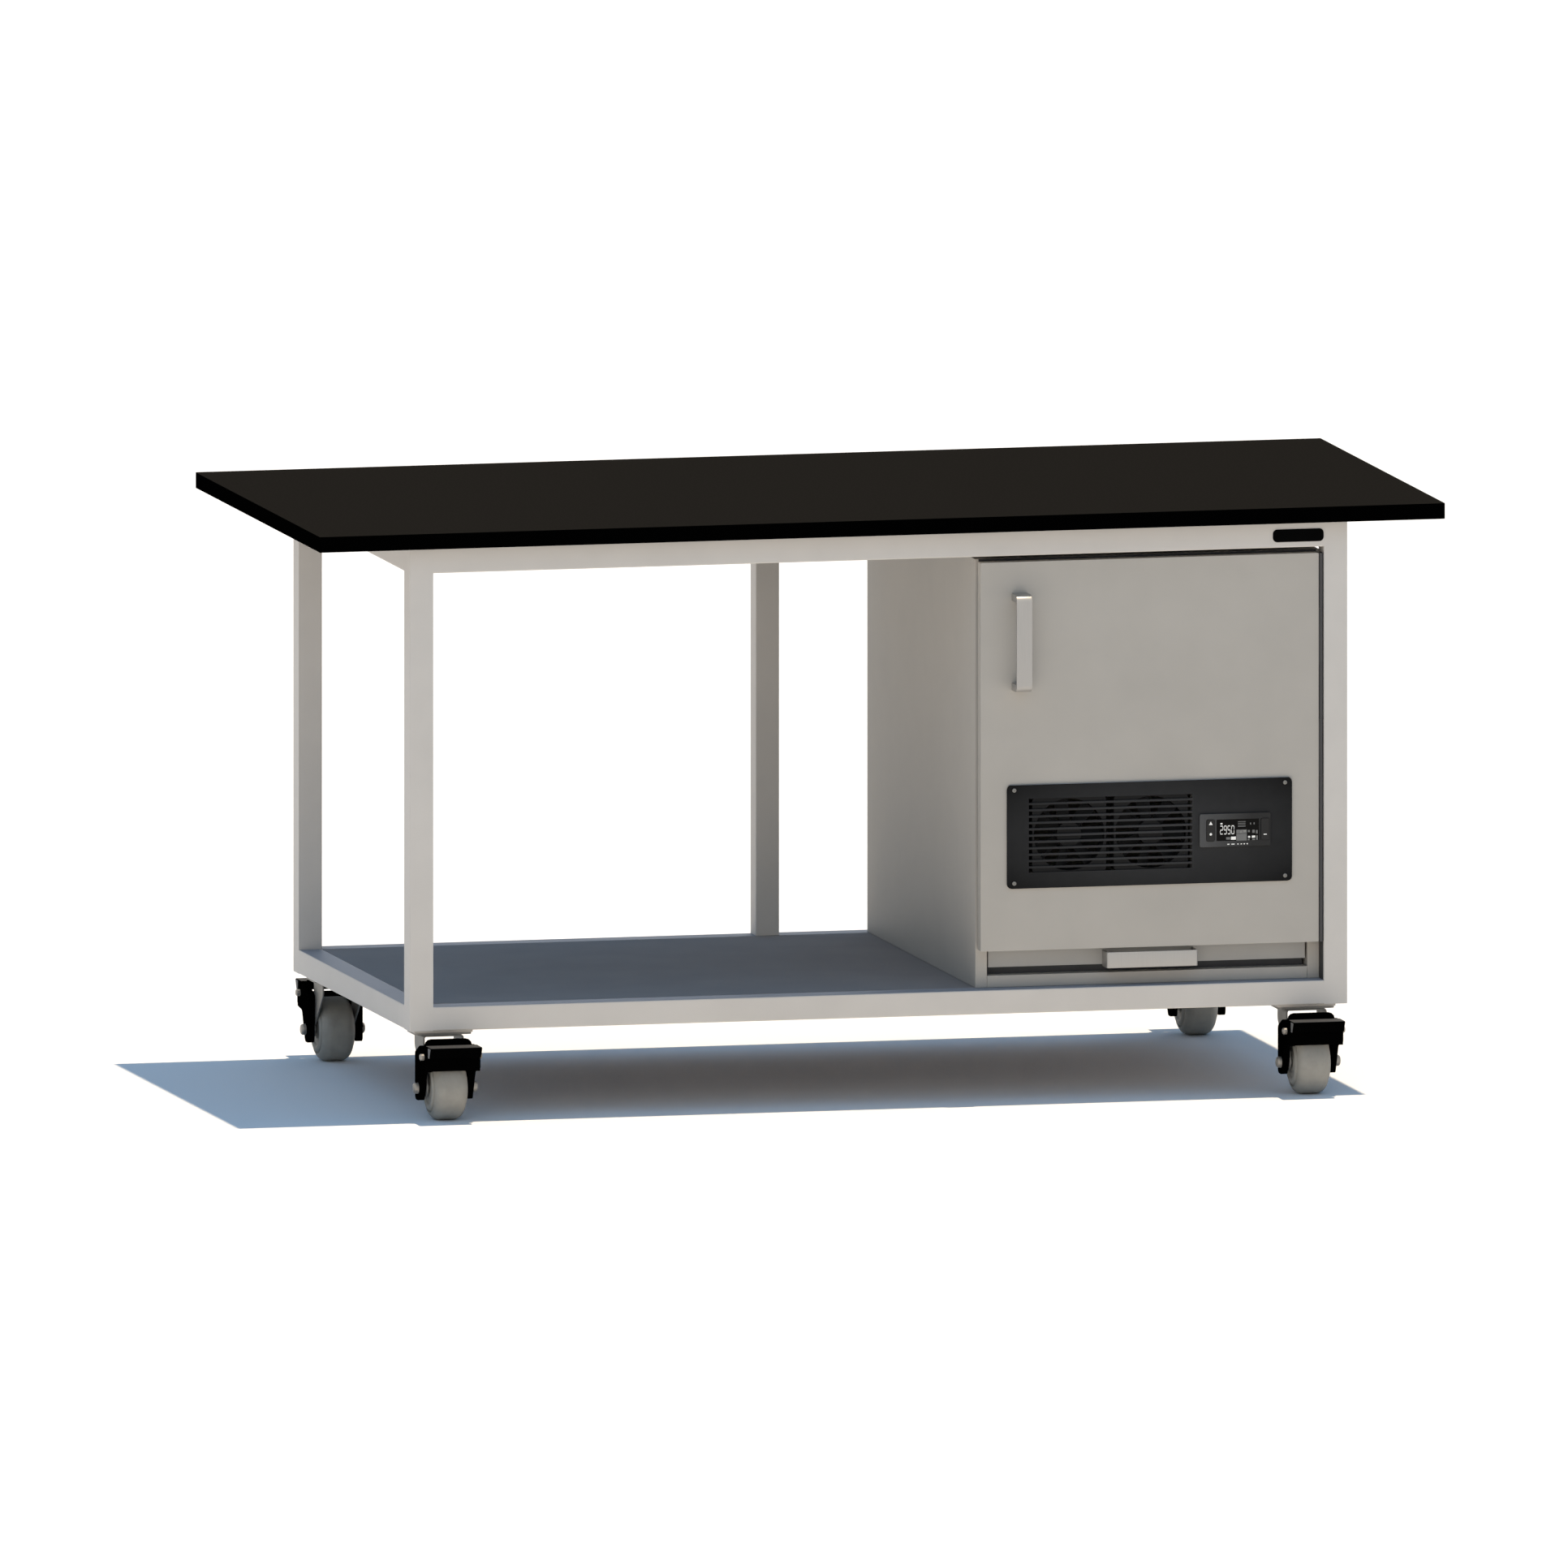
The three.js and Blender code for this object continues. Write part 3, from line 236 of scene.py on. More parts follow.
class Shading:
    """The node tree of a finish or of the sky."""

    def __init__(self, tree):
        self.tree = tree

    def node(self, kind, settings=None, sockets=None, output=0):
        """Adds a node: its settings first, then the values or links of its sockets."""
        node = self.tree.nodes.new(kind)
        for key, value in (settings or {}).items():
            setattr(node, key, value)
        for key, value in (sockets or {}).items():
            self.feed(node.inputs[key], value)
        return Value(self, node.outputs[output])

    def feed(self, socket, value):
        """Links a socket to a shader value, or sets it to a plain one."""
        if isinstance(value, Value):
            self.tree.links.new(value.socket, socket)
        else:
            socket.default_value = value


class Finish(Shading):
    """One material: a Principled shader and the nodes that feed it."""

    def __init__(self, name, color, roughness, metallic=0.0, specular=0.5):
        self.material = bpy.data.materials.new(name)
        self.material.use_nodes = True
        super().__init__(self.material.node_tree)
        self.shader = self.tree.nodes["Principled BSDF"]
        self.color = (*color, 1.0)
        self.set("Base Color", self.color)
        self.set("Roughness", roughness)
        self.set("Metallic", metallic)
        self.set("Specular IOR Level", specular)
        self.coordinates = self.node("ShaderNodeTexCoord", output="Object")

    def set(self, name, value):
        """Feeds one of the shader's own sockets."""
        self.feed(self.shader.inputs[name], value)

    def noise(self, scale, detail=2.0, stretch=(1, 1, 1)):
        """Smooth noise from 0 to 1, with a given number of lumps to a metre."""
        stretched = self.node("ShaderNodeMapping", sockets={"Vector": self.coordinates, "Scale": stretch})
        return self.node("ShaderNodeTexNoise", {"noise_dimensions": "3D"},
                         {"Vector": stretched, "Scale": scale, "Detail": detail})

    def ramp(self, value, low, high):
        """0 below low, 1 above high, straight between."""
        return self.node("ShaderNodeMapRange", {"clamp": True},
                         {"Value": value, "From Min": low, "From Max": high})

    def mix(self, mask, first, second):
        """A colour between two, by a mask. Sockets 6 and 7 and output 2 are the Mix node's colours."""
        return self.node("ShaderNodeMix", {"data_type": "RGBA"}, {0: mask, 6: first, 7: second}, output=2)

    def axis(self, name):
        """One coordinate of the place on the object, in metres."""
        return self.node("ShaderNodeSeparateXYZ", sockets={0: self.coordinates}, output=name)

    def shade(self, factor):
        """The finish's own colour, made darker or lighter."""
        return tuple(channel * factor for channel in self.color[:3]) + (1.0,)

    def bump(self, height, distance):
        """Raises and sinks the surface by a height from 0 to 1, times a distance in metres."""
        self.set("Normal", self.node("ShaderNodeBump", sockets={"Height": height, "Distance": distance}))


FRAME_GREY = (0.605, 0.570, 0.525)
# Painted shade: cool grey for the rails' tops in the worktop's shadow.
RAIL_TOP_SHADE_GREY = (0.28, 0.305, 0.36, 1.0)


def powder_coat(name, color, roughness=0.5, specular=0.35, painted_shade_above=None):
    """Powder coat: faint orange peel, soft clouding of the colour and of the gloss.

    Above a given height the colour is painted shade: a cool grey for the sky-lit shadow on the tops of the
    rails that the shelf lies between.
    """
    finish = Finish(name, color, roughness, specular=specular)
    cloud = finish.noise(9.0, detail=3.0)
    coat = finish.mix(finish.ramp(cloud, 0.3, 0.7), finish.shade(0.965), finish.shade(1.035))
    # Painted shade: a cool grey above the given height.
    if painted_shade_above is not None:
        coat = finish.mix(finish.axis("Z") > painted_shade_above, coat, RAIL_TOP_SHADE_GREY)
    finish.set("Base Color", coat)
    finish.set("Roughness", roughness - 0.05 + 0.1 * cloud)
    orange_peel = finish.noise(420.0)
    finish.bump(orange_peel, 0.06 * MM)
    return finish.material


def worktop_resin():
    """Cast resin worktop: fine mottle on the top, and black sawn edges with faint saw lines."""
    finish = Finish("worktop_resin", (0.0132, 0.0121, 0.0106), 0.5, specular=0.0)
    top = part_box("worktop")[1].z
    skin = 0.4 * MM
    is_top = finish.axis("Z") > top - skin
    mottle = finish.ramp(finish.noise(260.0, detail=4.0), 0.35, 0.65)
    face = finish.mix(mottle, finish.shade(0.9), finish.shade(1.1))
    edge = (0.0005, 0.0005, 0.0005, 1.0)
    finish.set("Base Color", finish.mix(is_top, edge, face))
    cloud = finish.noise(5.0, detail=3.0)
    finish.set("Roughness", 0.46 + 0.12 * cloud)
    pores = finish.noise(700.0)
    saw_lines = finish.noise(30.0, stretch=(1, 1, 90))
    finish.bump(pores * is_top + saw_lines * (1 - is_top), 0.04 * MM)
    return finish.material


def moulded_black(name, shade, roughness, grain=520.0, specular=0.3):
    """Moulded plastic, rubber or coating, black to grey: fine grain, soft clouding of colour and gloss."""
    finish = Finish(name, (shade, shade, shade * 1.02), roughness, specular=specular)
    cloud = finish.noise(40.0)
    finish.set("Base Color", finish.mix(cloud, finish.shade(0.85), finish.shade(1.15)))
    finish.set("Roughness", roughness - 0.06 + 0.12 * cloud)
    finish.bump(finish.noise(grain), 0.05 * MM)
    return finish.material


def vent_coat():
    """Black coat of the vent plate: fine grain, with a painted highlight on the grille's bars and on the top
    edge.

    Painted shade darkens it towards the corners, with the squares of the distances from the middle.
    """
    finish = Finish("vent_black", (0.037, 0.037, 0.0375), 0.6, specular=0.05)
    low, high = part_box("vent_plate")
    grille_left = low.x + 35 * MM
    grille_right = low.x + 301 * MM
    margin = 24 * MM
    rim_depth = 0.3 * MM
    x = finish.axis("X")
    z = finish.axis("Z")
    columns = (x > grille_left) - (x > grille_right)
    rows = (z > low.z + margin) - (z > high.z - margin)
    # Painted highlight: a thin paler band along the top edge.
    top_edge_highlight = z > high.z - rim_depth
    grain = finish.noise(40.0)
    plain = finish.mix(grain, finish.shade(0.85), finish.shade(1.15))
    # Painted highlight: the grille's bars are paler.
    bars = finish.mix(columns * rows, plain, finish.shade(1.3))
    # Painted shade: darker towards the corners.
    across = (x - (low.x + high.x) / 2) * (2 / (high.x - low.x))
    upward = (z - (low.z + high.z) / 2) * (2 / (high.z - low.z))
    corners = 0.5 * (across * across) + 0.42 * (upward * upward)
    corner_shaded = finish.mix(corners, bars, finish.shade(0.12))
    # Painted highlight on the top edge.
    finish.set("Base Color", finish.mix(top_edge_highlight, corner_shaded, finish.shade(9)))
    finish.set("Roughness", 0.54 + 0.12 * grain)
    finish.bump(finish.noise(520.0), 0.05 * MM)
    return finish.material


def brushed(name, color, roughness, metallic):
    """Brushed metal: lines drawn out upwards, in the gloss, the colour and the bump."""
    finish = Finish(name, color, roughness, metallic=metallic)
    lines = finish.noise(900.0, stretch=(1, 1, 0.03))
    finish.set("Roughness", roughness - 0.08 + 0.16 * lines)
    finish.set("Base Color", finish.mix(lines, finish.shade(0.93), finish.shade(1.07)))
    finish.bump(lines, 0.01 * MM)
    return finish.material


def plated(name, color, roughness):
    """Dull zinc plate: spangled colour and gloss."""
    finish = Finish(name, color, roughness, metallic=0.55)
    spangle = finish.node("ShaderNodeTexVoronoi",
                          sockets={"Vector": finish.coordinates, "Scale": 160.0}, output="Color")
    tone = finish.node("ShaderNodeSeparateXYZ", sockets={0: spangle}, output="X")
    finish.set("Base Color", finish.mix(tone, finish.shade(0.9), finish.shade(1.1)))
    finish.set("Roughness", roughness - 0.06 + 0.12 * tone)
    finish.bump(finish.noise(300.0), 0.03 * MM)
    return finish.material


def control_face():
    """Black controller moulding, lighter towards its left end."""
    finish = Finish("control_black", (0.030, 0.030, 0.030), 0.4, specular=0.2)
    low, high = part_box("controller")
    fade_end = high.x - 30 * MM
    fade = finish.ramp(finish.axis("X"), fade_end, low.x)
    grain = 0.9 + 0.2 * finish.noise(60.0)
    finish.set("Base Color", finish.mix(fade * grain, finish.shade(0.6), finish.shade(2.6)))
    finish.set("Roughness", 0.34 + 0.12 * grain)
    finish.bump(finish.noise(520.0), 0.03 * MM)
    return finish.material


def wheel_rubber():
    """Matt grey rubber of the wheels: soft clouding of the colour and of the gloss, and fine grain."""
    finish = Finish("wheel_grey", (0.32, 0.305, 0.27), 0.62, specular=0.2)
    cloud = finish.noise(60.0, detail=4.0)
    patches = finish.ramp(cloud, 0.35, 0.65)
    finish.set("Base Color", finish.mix(patches, finish.shade(0.93), finish.shade(1.05)))
    finish.set("Roughness", 0.56 + 0.12 * cloud)
    finish.bump(finish.noise(480.0), 0.06 * MM)
    return finish.material


def plain_gloss(name, color, roughness, specular=0.5, glow=0.0):
    """A small smooth face: clear cover, printed mark or lit segment, with a trace of unevenness."""
    finish = Finish(name, color, roughness, specular=specular)
    finish.set("Roughness", roughness - 0.03 + 0.06 * finish.noise(150.0))
    if glow:
        finish.set("Emission Color", finish.color)
        finish.set("Emission Strength", glow)
    return finish.material


materials = {
    "frame_paint": powder_coat("frame_paint", FRAME_GREY),
    "panel_paint": powder_coat("panel_paint", (0.455, 0.425, 0.380), roughness=0.55, specular=0.18),
    "tray_paint": powder_coat("tray_paint", (0.364, 0.353, 0.331), roughness=0.55),
    "shelf_paint": powder_coat("shelf_paint", (0.39, 0.355, 0.340), specular=0.0),
    "worktop_resin": worktop_resin(),
    "gasket_rubber": moulded_black("gasket_rubber", 0.02, 0.8, grain=300.0),
    "satin_steel": brushed("satin_steel", (0.395, 0.382, 0.363), 0.45, metallic=0.6),
    "hinge_steel": brushed("hinge_steel", (0.05, 0.05, 0.052), 0.45, metallic=0.3),
    "vent_black": vent_coat(),
    "fan_black": moulded_black("fan_black", 0.012, 0.5, specular=0.1),
    "control_black": control_face(),
    "runner_zinc": plated("runner_zinc", (0.40, 0.40, 0.39), 0.4),
    "caster_steel": plated("caster_steel", (0.22, 0.215, 0.20), 0.5),
    "brake_black": moulded_black("brake_black", 0.0008, 0.6, specular=0.0),
    "wheel_grey": wheel_rubber(),
}
rail_skin = 0.3 * MM
rail_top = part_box("bottom_rail_front")[1].z
# Bottom rails: frame paint with painted shade on their tops.
rail_paint_shaded_top = powder_coat("rail_paint_shaded_top", FRAME_GREY, painted_shade_above=rail_top - rail_skin)
nut_zinc = plated("nut_zinc", (0.30, 0.28, 0.25), 0.45)
key_black = moulded_black("key_black", 0.006, 0.4)
plate_black = moulded_black("plate_black", 0.0015, 0.4, specular=0.01)
# Grey of the cabinet's gasket strip, and painted shade on the leg's inner face.
seal_and_shade_grey = moulded_black("seal_and_shade_grey", 0.055, 0.7, specular=0.1)
# Painted sheen: grey for the sunlit top of the black pedals.
pedal_sheen_grey = moulded_black("pedal_sheen_grey", 0.056, 0.7, specular=0.1)
# Painted light: paler grey for the pedals' lit end faces.
pedal_end_light_grey = moulded_black("pedal_end_light_grey", 0.15, 0.7, specular=0.1)
# Painted shade: a dark sheet for the shaded gap under the tray.
gap_shade_black = moulded_black("gap_shade_black", 0.08, 0.9, specular=0.0)
display_glass = plain_gloss("display_glass", (0.006, 0.0055, 0.005), 0.3, specular=0.05)
# Glow of the display's lit segments, also put on the controller's print and the key marks as a painted glow.
segment_and_print_glow = plain_gloss("segment_and_print_glow", (0.75, 0.74, 0.70), 0.5, glow=0.25)
dim_segment = plain_gloss("dim_segment", (0.13, 0.13, 0.125), 0.5, glow=0.1)

for entry in frame["record"]["subparts"]:
    node = frame["nodes"][entry["node"]]
    node.data.materials.clear()
    node.data.materials.append(materials[entry["material_slot"]])
for name in ("key_up_down", "key_set"):
    frame["nodes"][name].data.materials[0] = key_black
# The bottom rails take the paint with painted shade on their tops.
for side in ("front", "rear", "left", "right"):
    frame["nodes"][f"bottom_rail_{side}"].data.materials[0] = rail_paint_shaded_top


def soften(node_name, width):
    """Rounds the sharp edges of a solid: its loose triangles are welded, then its edges get a small bevel."""
    same_point = 0.01 * MM
    sharp = np.radians(40)
    node = frame["nodes"][node_name]
    weld = node.modifiers.new("weld", "WELD")
    weld.merge_threshold = same_point
    bevel = node.modifiers.new("edge", "BEVEL")
    bevel.width = width
    bevel.segments = 2
    bevel.limit_method = "ANGLE"
    bevel.angle_limit = sharp
    bevel.harden_normals = True
    bevel.use_clamp_overlap = True


def finish_piece(piece, material, body, slot, *replaced):
    """Gives a new piece its material, its body and the nodes that it replaces, if any. Its slot is not used.
    """
    piece.data.materials.append(material)
    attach(piece, body)
    if replaced:
        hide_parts(*replaced)
    return piece


# Fine pieces on the solids

def middle(node_name):
    """Centre of a node's box."""
    low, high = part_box(node_name)
    return (low + high) / 2


def outward(corner):
    """The way a caster's pedal faces along Y: forward on the front casters, back on the rear ones."""
    return 1 if corner.startswith("rear") else -1


def wheel(corner):
    """The smooth wheel that stands for a faceted one: tread, round shoulders, a groove, a bead and a hub.

    A closed profile turned about the axle. Groove, bead and hub are (radius, height over the side) in
    millimetres, and the left half mirrors the right.
    """
    low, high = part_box(f"caster_wheel_{corner}")
    radius = (high.z - low.z) / 2
    half = (high.x - low.x) / 2
    shoulder = 16 * MM
    groove = [(39.0, -1.4), (38.4, -3.6), (36.8, -3.6), (36.2, -1.6)]
    bead = [(35.4, -0.2), (34.2, 1.0), (32.6, 1.9), (30.8, 2.2), (28.8, 2.0), (27.0, 1.3), (25.4, 0.2)]
    hub = [(24.4, -1.0), (17, -1.0), (15.5, -0.8), (14.2, -0.2), (13.5, 0), (6.3, 0)]
    right = np.vstack([
        arc((radius - shoulder, half - shoulder), shoulder, start=0, end=73, steps=14),
        np.array(groove + bead + hub) * MM + (0, half),
    ])
    left = right[::-1] * (1, -1)
    profile = np.vstack([right, left])
    axes = ((0, 1, 0), (0, 0, 1), (1, 0, 0))
    hub_place = middle(f"caster_wheel_{corner}")
    piece = turned(f"wheel_{corner}", profile, hub_place, axes, steps=96, closed=True)
    finish_piece(piece, materials["wheel_grey"], f"wheel_{corner}", "wheel_grey", f"caster_wheel_{corner}")


def axle_caps(corner):
    """Domed caps on the two ends of an axle bolt, and the rivet heads of the brake's pivot.

    Profiles of (radius, height) with a quarter-round edge, turned about the axle's direction.
    """
    hub = middle(f"caster_wheel_{corner}")
    low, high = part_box(f"caster_fork_{corner}")
    dome_depth = 7.4 * MM
    rivet_depth = 7.6 * MM
    pivot_y = hub.y + outward(corner) * 38 * MM
    pivot_z = hub.z + 54 * MM
    dome = np.vstack([[(8.8, 0)], arc((4.8, 3.6), 4.0, 0, 90, 6), [(0.2, 7.7)]]) * MM
    rivet = np.vstack([[(5.4, 0)], arc((2.9, 4.2), 2.5, 0, 90, 5), [(0.2, 6.8)]]) * MM
    for side, sign, end in (("left", -1, low.x), ("right", 1, high.x)):
        axes = ((0, 1, 0), (0, 0, 1), (sign, 0, 0))
        spot = (end - sign * dome_depth, hub.y, hub.z)
        cap = turned(f"axle_cap_{corner}_{side}", dome, spot, axes, steps=32)
        finish_piece(cap, nut_zinc, f"caster_{corner}", "caster_steel")
        spot = (end - sign * rivet_depth, pivot_y, pivot_z)
        head = turned(f"pivot_rivet_{corner}_{side}", rivet, spot, axes, steps=24)
        finish_piece(head, nut_zinc, f"caster_{corner}", "caster_steel")


def pedal_light_covers(corner):
    """Thin grey sheets on a black pedal: a painted sheen of the sun on its top, and paler painted light on
    its two ends.

    Flat outlines in millimetres: outwards from the axle, then across for the top and up from it for the ends.
    """
    hub = middle(f"caster_wheel_{corner}")
    low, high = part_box(f"brake_pedal_{corner}")
    ahead = (0, outward(corner), 0)
    margin = 0.9
    thickness = 0.3 * MM
    edge = 0.1 * MM
    left = low.x / MM + margin
    right = high.x / MM - margin
    strip = np.array([(41, left), (76, left), (76, right), (41, right)])
    end = np.array([(59.4, -16.6), (67.6, -16.6), (75.6, -1.2), (59.4, -1.2)])
    shapes = {
        "top": (strip, (0, hub.y, high.z), (ahead, (1, 0, 0), (0, 0, 1)), pedal_sheen_grey),
        "left": (end, (low.x, hub.y, high.z), (ahead, (0, 0, 1), (-1, 0, 0)), pedal_end_light_grey),
        "right": (end, (high.x, hub.y, high.z), (ahead, (0, 0, 1), (1, 0, 0)), pedal_end_light_grey),
    }
    # Painted light on the black pedal: sheen on the top, lit ends.
    for side, (outline, origin, axes, material) in shapes.items():
        overlay = slab(f"pedal_light_cover_{corner}_{side}", outline * MM, thickness, edge, origin, axes)
        finish_piece(overlay, material, f"pedal_{corner}", "brake_black")


def door_handle():
    """The bow handle of the door with rounded edges and bends."""
    low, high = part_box("door_handle")
    outline = bow(high.z - low.z, high.y - low.y, plate=5 * MM, post=12.4 * MM, bend=12 * MM)
    origin = (low.x, high.y, middle("door_handle").z)
    axes = ((0, 0, 1), (0, -1, 0), (1, 0, 0))
    edge = 0.8 * MM
    piece = slab("bow_handle", outline, high.x - low.x, edge, origin, axes, both=True)
    finish_piece(piece, materials["satin_steel"], "door", "satin_steel", "door_handle")


def tray_pull():
    """The bow pull of the tray, a bent strip."""
    low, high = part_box("tray_pull")
    outline = bow(high.x - low.x, high.y - low.y, plate=4 * MM, post=4 * MM, bend=4 * MM)
    origin = (middle("tray_pull").x, high.y, low.z)
    axes = ((1, 0, 0), (0, -1, 0), (0, 0, 1))
    edge = 0.6 * MM
    piece = slab("bow_pull", outline, high.z - low.z, edge, origin, axes, both=True)
    finish_piece(piece, materials["satin_steel"], "tray", "satin_steel", "tray_pull")


def vent_screws():
    """Button-head screws at the vent plate's corners, each with a round socket: a profile turned about Y."""
    low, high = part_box("vent_plate")
    inset_x = 11.5 * MM
    inset_z = 8.5 * MM
    head = np.vstack([[(3.4, 0)], arc((2.0, 0.5), 1.4, 0, 90, 5)])
    socket = [(1.4, 1.9), (1.3, 1.0), (0.1, 1.0)]
    profile = np.vstack([head, socket]) * MM
    for row, z in (("lower", low.z + inset_z), ("upper", high.z - inset_z)):
        for side, x in (("left", low.x + inset_x), ("right", high.x - inset_x)):
            screw = turned(f"vent_screw_{row}_{side}", profile, (x, low.y, z), FACING_FRONT, steps=24)
            finish_piece(screw, materials["caster_steel"], "door", "vent_black")


def badge():
    """A bare black plate at the right end of the top front rail."""
    low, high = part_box("top_rail_front")
    outline = rounded_rectangle(width=82.4 * MM, height=20.4 * MM, radius=7 * MM)
    from_end = 41.7 * MM
    below_middle = 1.6 * MM
    origin = (high.x - from_end, low.y, middle("top_rail_front").z - below_middle)
    plate = slab("badge_plate", outline, thickness=1.2 * MM, edge=0.5 * MM, origin=origin)
    finish_piece(plate, plate_black, "bench", "control_black")


def ground_welds():
    """Filled and ground joints of the rails and legs: strips that stand a hair proud across each joint."""
    half = 1.2 * MM
    proud = 0.04 * MM
    short = 2 * MM
    joints = {"front": (0, 1, -1), "rear": (0, 1, 1), "left": (1, 0, -1), "right": (1, 0, 1)}
    for level in ("top", "bottom"):
        for side, (along, across, sign) in joints.items():
            rail = f"{level}_rail_{side}"
            low, high = (np.array(corner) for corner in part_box(rail))
            lows, highs = [], []
            for end in (low[along] - JOINT_GAP / 2, high[along] + JOINT_GAP / 2):
                start, stop = low.copy(), high.copy()
                start[along], stop[along] = end - half, end + half
                start[2] += short
                stop[2] -= short
                face = high[across] if sign > 0 else low[across]
                start[across], stop[across] = sorted((face - sign * half, face + sign * proud))
                lows.append(start)
                highs.append(stop)
            weld = boxes(f"weld_{rail}", lows, highs)
            finish_piece(weld, materials["frame_paint"], "bench", "frame_paint")


def cabinet_trim():
    """Thin strips: a grey gasket strip on the cabinet's top edge, and painted shade: a grey sheet on the
    leg's inner face beside the tray, and a dark sheet under the tray that stands for the shaded gap there.
    """
    low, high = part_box("cabinet_top")
    past_end = 14 * MM
    proud = 0.8 * MM
    bottom = high.z - 5.5 * MM
    top = high.z - 0.2 * MM
    trim_piece = boxes("cabinet_seal",
                 [(low.x - past_end, low.y - proud, bottom)],
                 [(high.x + past_end, low.y + SEAT, top)])
    finish_piece(trim_piece, seal_and_shade_grey, "bench", "gasket_rubber")
    low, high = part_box("cabinet_floor")
    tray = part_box("pull_out_tray")[0]
    setback = 17 * MM
    thickness = 2 * MM
    end = high.x - 3 * MM
    top = tray.z - 0.8 * MM
    # Painted shade: a dark sheet in the gap under the tray.
    strip = boxes("tray_gap_shade",
                  [(tray.x, tray.y + setback, high.z - SEAT)],
                  [(end, tray.y + setback + thickness, top)])
    finish_piece(strip, gap_shade_black, "bench", "gasket_rubber")
    leg_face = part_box("bottom_rail_front")[1].x + JOINT_GAP
    door_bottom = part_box("door_panel")[0].z
    clearance = 0.5 * MM
    width = 0.6 * MM
    reach = 24 * MM
    # Painted shade: a grey sheet on the leg's inner face beside the tray.
    trim_piece = boxes("leg_face_shade",
                 [(leg_face - width, low.y - reach, low.z)],
                 [(leg_face + SEAT, low.y - clearance, door_bottom - clearance)])
    finish_piece(trim_piece, seal_and_shade_grey, "bench", "gasket_rubber")


def blocks(name, rectangles, face, rise):
    """Thin blocks that stand on a face looking to the front: one for each (left, right, bottom, top)."""
    left, right, bottom, top = np.array(rectangles, float).T
    back = np.full(len(left), face)
    lows = np.stack([left, back - rise, bottom], axis=-1)
    highs = np.stack([right, back, top], axis=-1)
    return boxes(name, lows, highs)


PRINT_RISE = 0.06 * MM
KEY_MARK_RISE = 0.08 * MM
SEGMENTS = {
    "a": (0.12, 0.88, 0.90, 1.00), "b": (0.84, 1.00, 0.54, 0.90), "c": (0.84, 1.00, 0.10, 0.46),
    "d": (0.12, 0.88, 0.00, 0.10), "e": (0.00, 0.16, 0.10, 0.46), "f": (0.00, 0.16, 0.54, 0.90),
    "g": (0.12, 0.88, 0.45, 0.55),
}


def digit(segments, left, bottom, width, height):
    """Rectangles of a seven-segment digit: shares of its width and height, from its lower left corner."""
    shares = np.array([SEGMENTS[name] for name in segments])
    return shares * (width, width, height, height) + (left, left, bottom, bottom)


def display():
    """The controller's dark window with plain digits, bars and simple marks.

    Rectangles are (left, right, bottom, top) in millimetres from the controller's lower left corner.
    """
    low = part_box("controller")[0]
    corner = np.array((low.x, low.x, low.z, low.z))
    left, right, bottom, top = np.array((27.3, 96.3, 9.3, 43.3)) * MM + corner
    clearance = 0.1 * MM
    recess = 0.6 * MM
    thickness = 0.5 * MM
    outline = rounded_rectangle(right - left - 2 * clearance, top - bottom - 2 * clearance, radius=0.6 * MM)
    centre = ((left + right) / 2, low.y + recess, (bottom + top) / 2)
    glass = slab("display_window", outline, thickness, edge=0.1 * MM, origin=centre)
    finish_piece(glass, display_glass, "door", "control_black")
    face = low.y + recess - thickness
    figures = ("abged", "abcdfg", "acdfg", "abcdef")
    first, pitch = 33.0, 6.1
    digits = [digit(figure, first + pitch * index, bottom=19.6, width=4.8, height=14.0)
              for index, figure in enumerate(figures)]
    lit = np.vstack([
        *digits,
        [(50.8, 58.7, 10.8, 15.6), (33.6, 36.8, 35.4, 37.8)],
        [(65.6, 68.4, 21.6, 24.4), (71.0, 75.8, 22.8, 25.6)],
        [(78.6, 81.8, 13.0, 16.0), (84.6, 90.0, 13.0, 16.4)],
    ]) * MM + corner
    finish_piece(blocks("display_digits", lit, face, PRINT_RISE), segment_and_print_glow, "door", "control_black")
    dim = np.vstack([
        [(42.9, 49.4, 11.2, 15.0), (59.5, 76.4, 9.0, 19.8), (59.5, 76.4, 20.4, 26.4)],
        [(62.0, 74.4, line, line + 1.0) for line in (31.0, 33.4, 36.0, 38.6)],
        [(81.6, 83.4, 34.2, 37.2), (87.4, 89.2, 34.2, 37.2)],
        [(78.2, 81.4, 22.0, 25.4), (85.4, 89.4, 20.8, 25.6), (91.4, 94.0, 19.6, 25.0)],
        [(78.0, 81.0, 9.2, 11.4), (85.2, 89.8, 9.2, 11.4), (91.6, 94.2, 9.6, 16.4)],
    ]) * MM + corner
    finish_piece(blocks("display_marks", dim, face, PRINT_RISE), dim_segment, "door", "control_black")
    starts = np.array((44.8, 51.4, 61.0, 66.4, 71.2, 76.0))
    widths = np.array((3.6, 5.2, 2.2, 2.2, 2.2, 2.2))
    level = np.ones(len(starts))
    row = np.stack([starts, starts + widths, 3.0 * level, 4.4 * level], axis=-1) * MM + corner
    # Painted glow: the print below the window uses the glowing segment material.
    finish_piece(blocks("controller_print", row, low.y, PRINT_RISE), segment_and_print_glow, "door", "control_black")


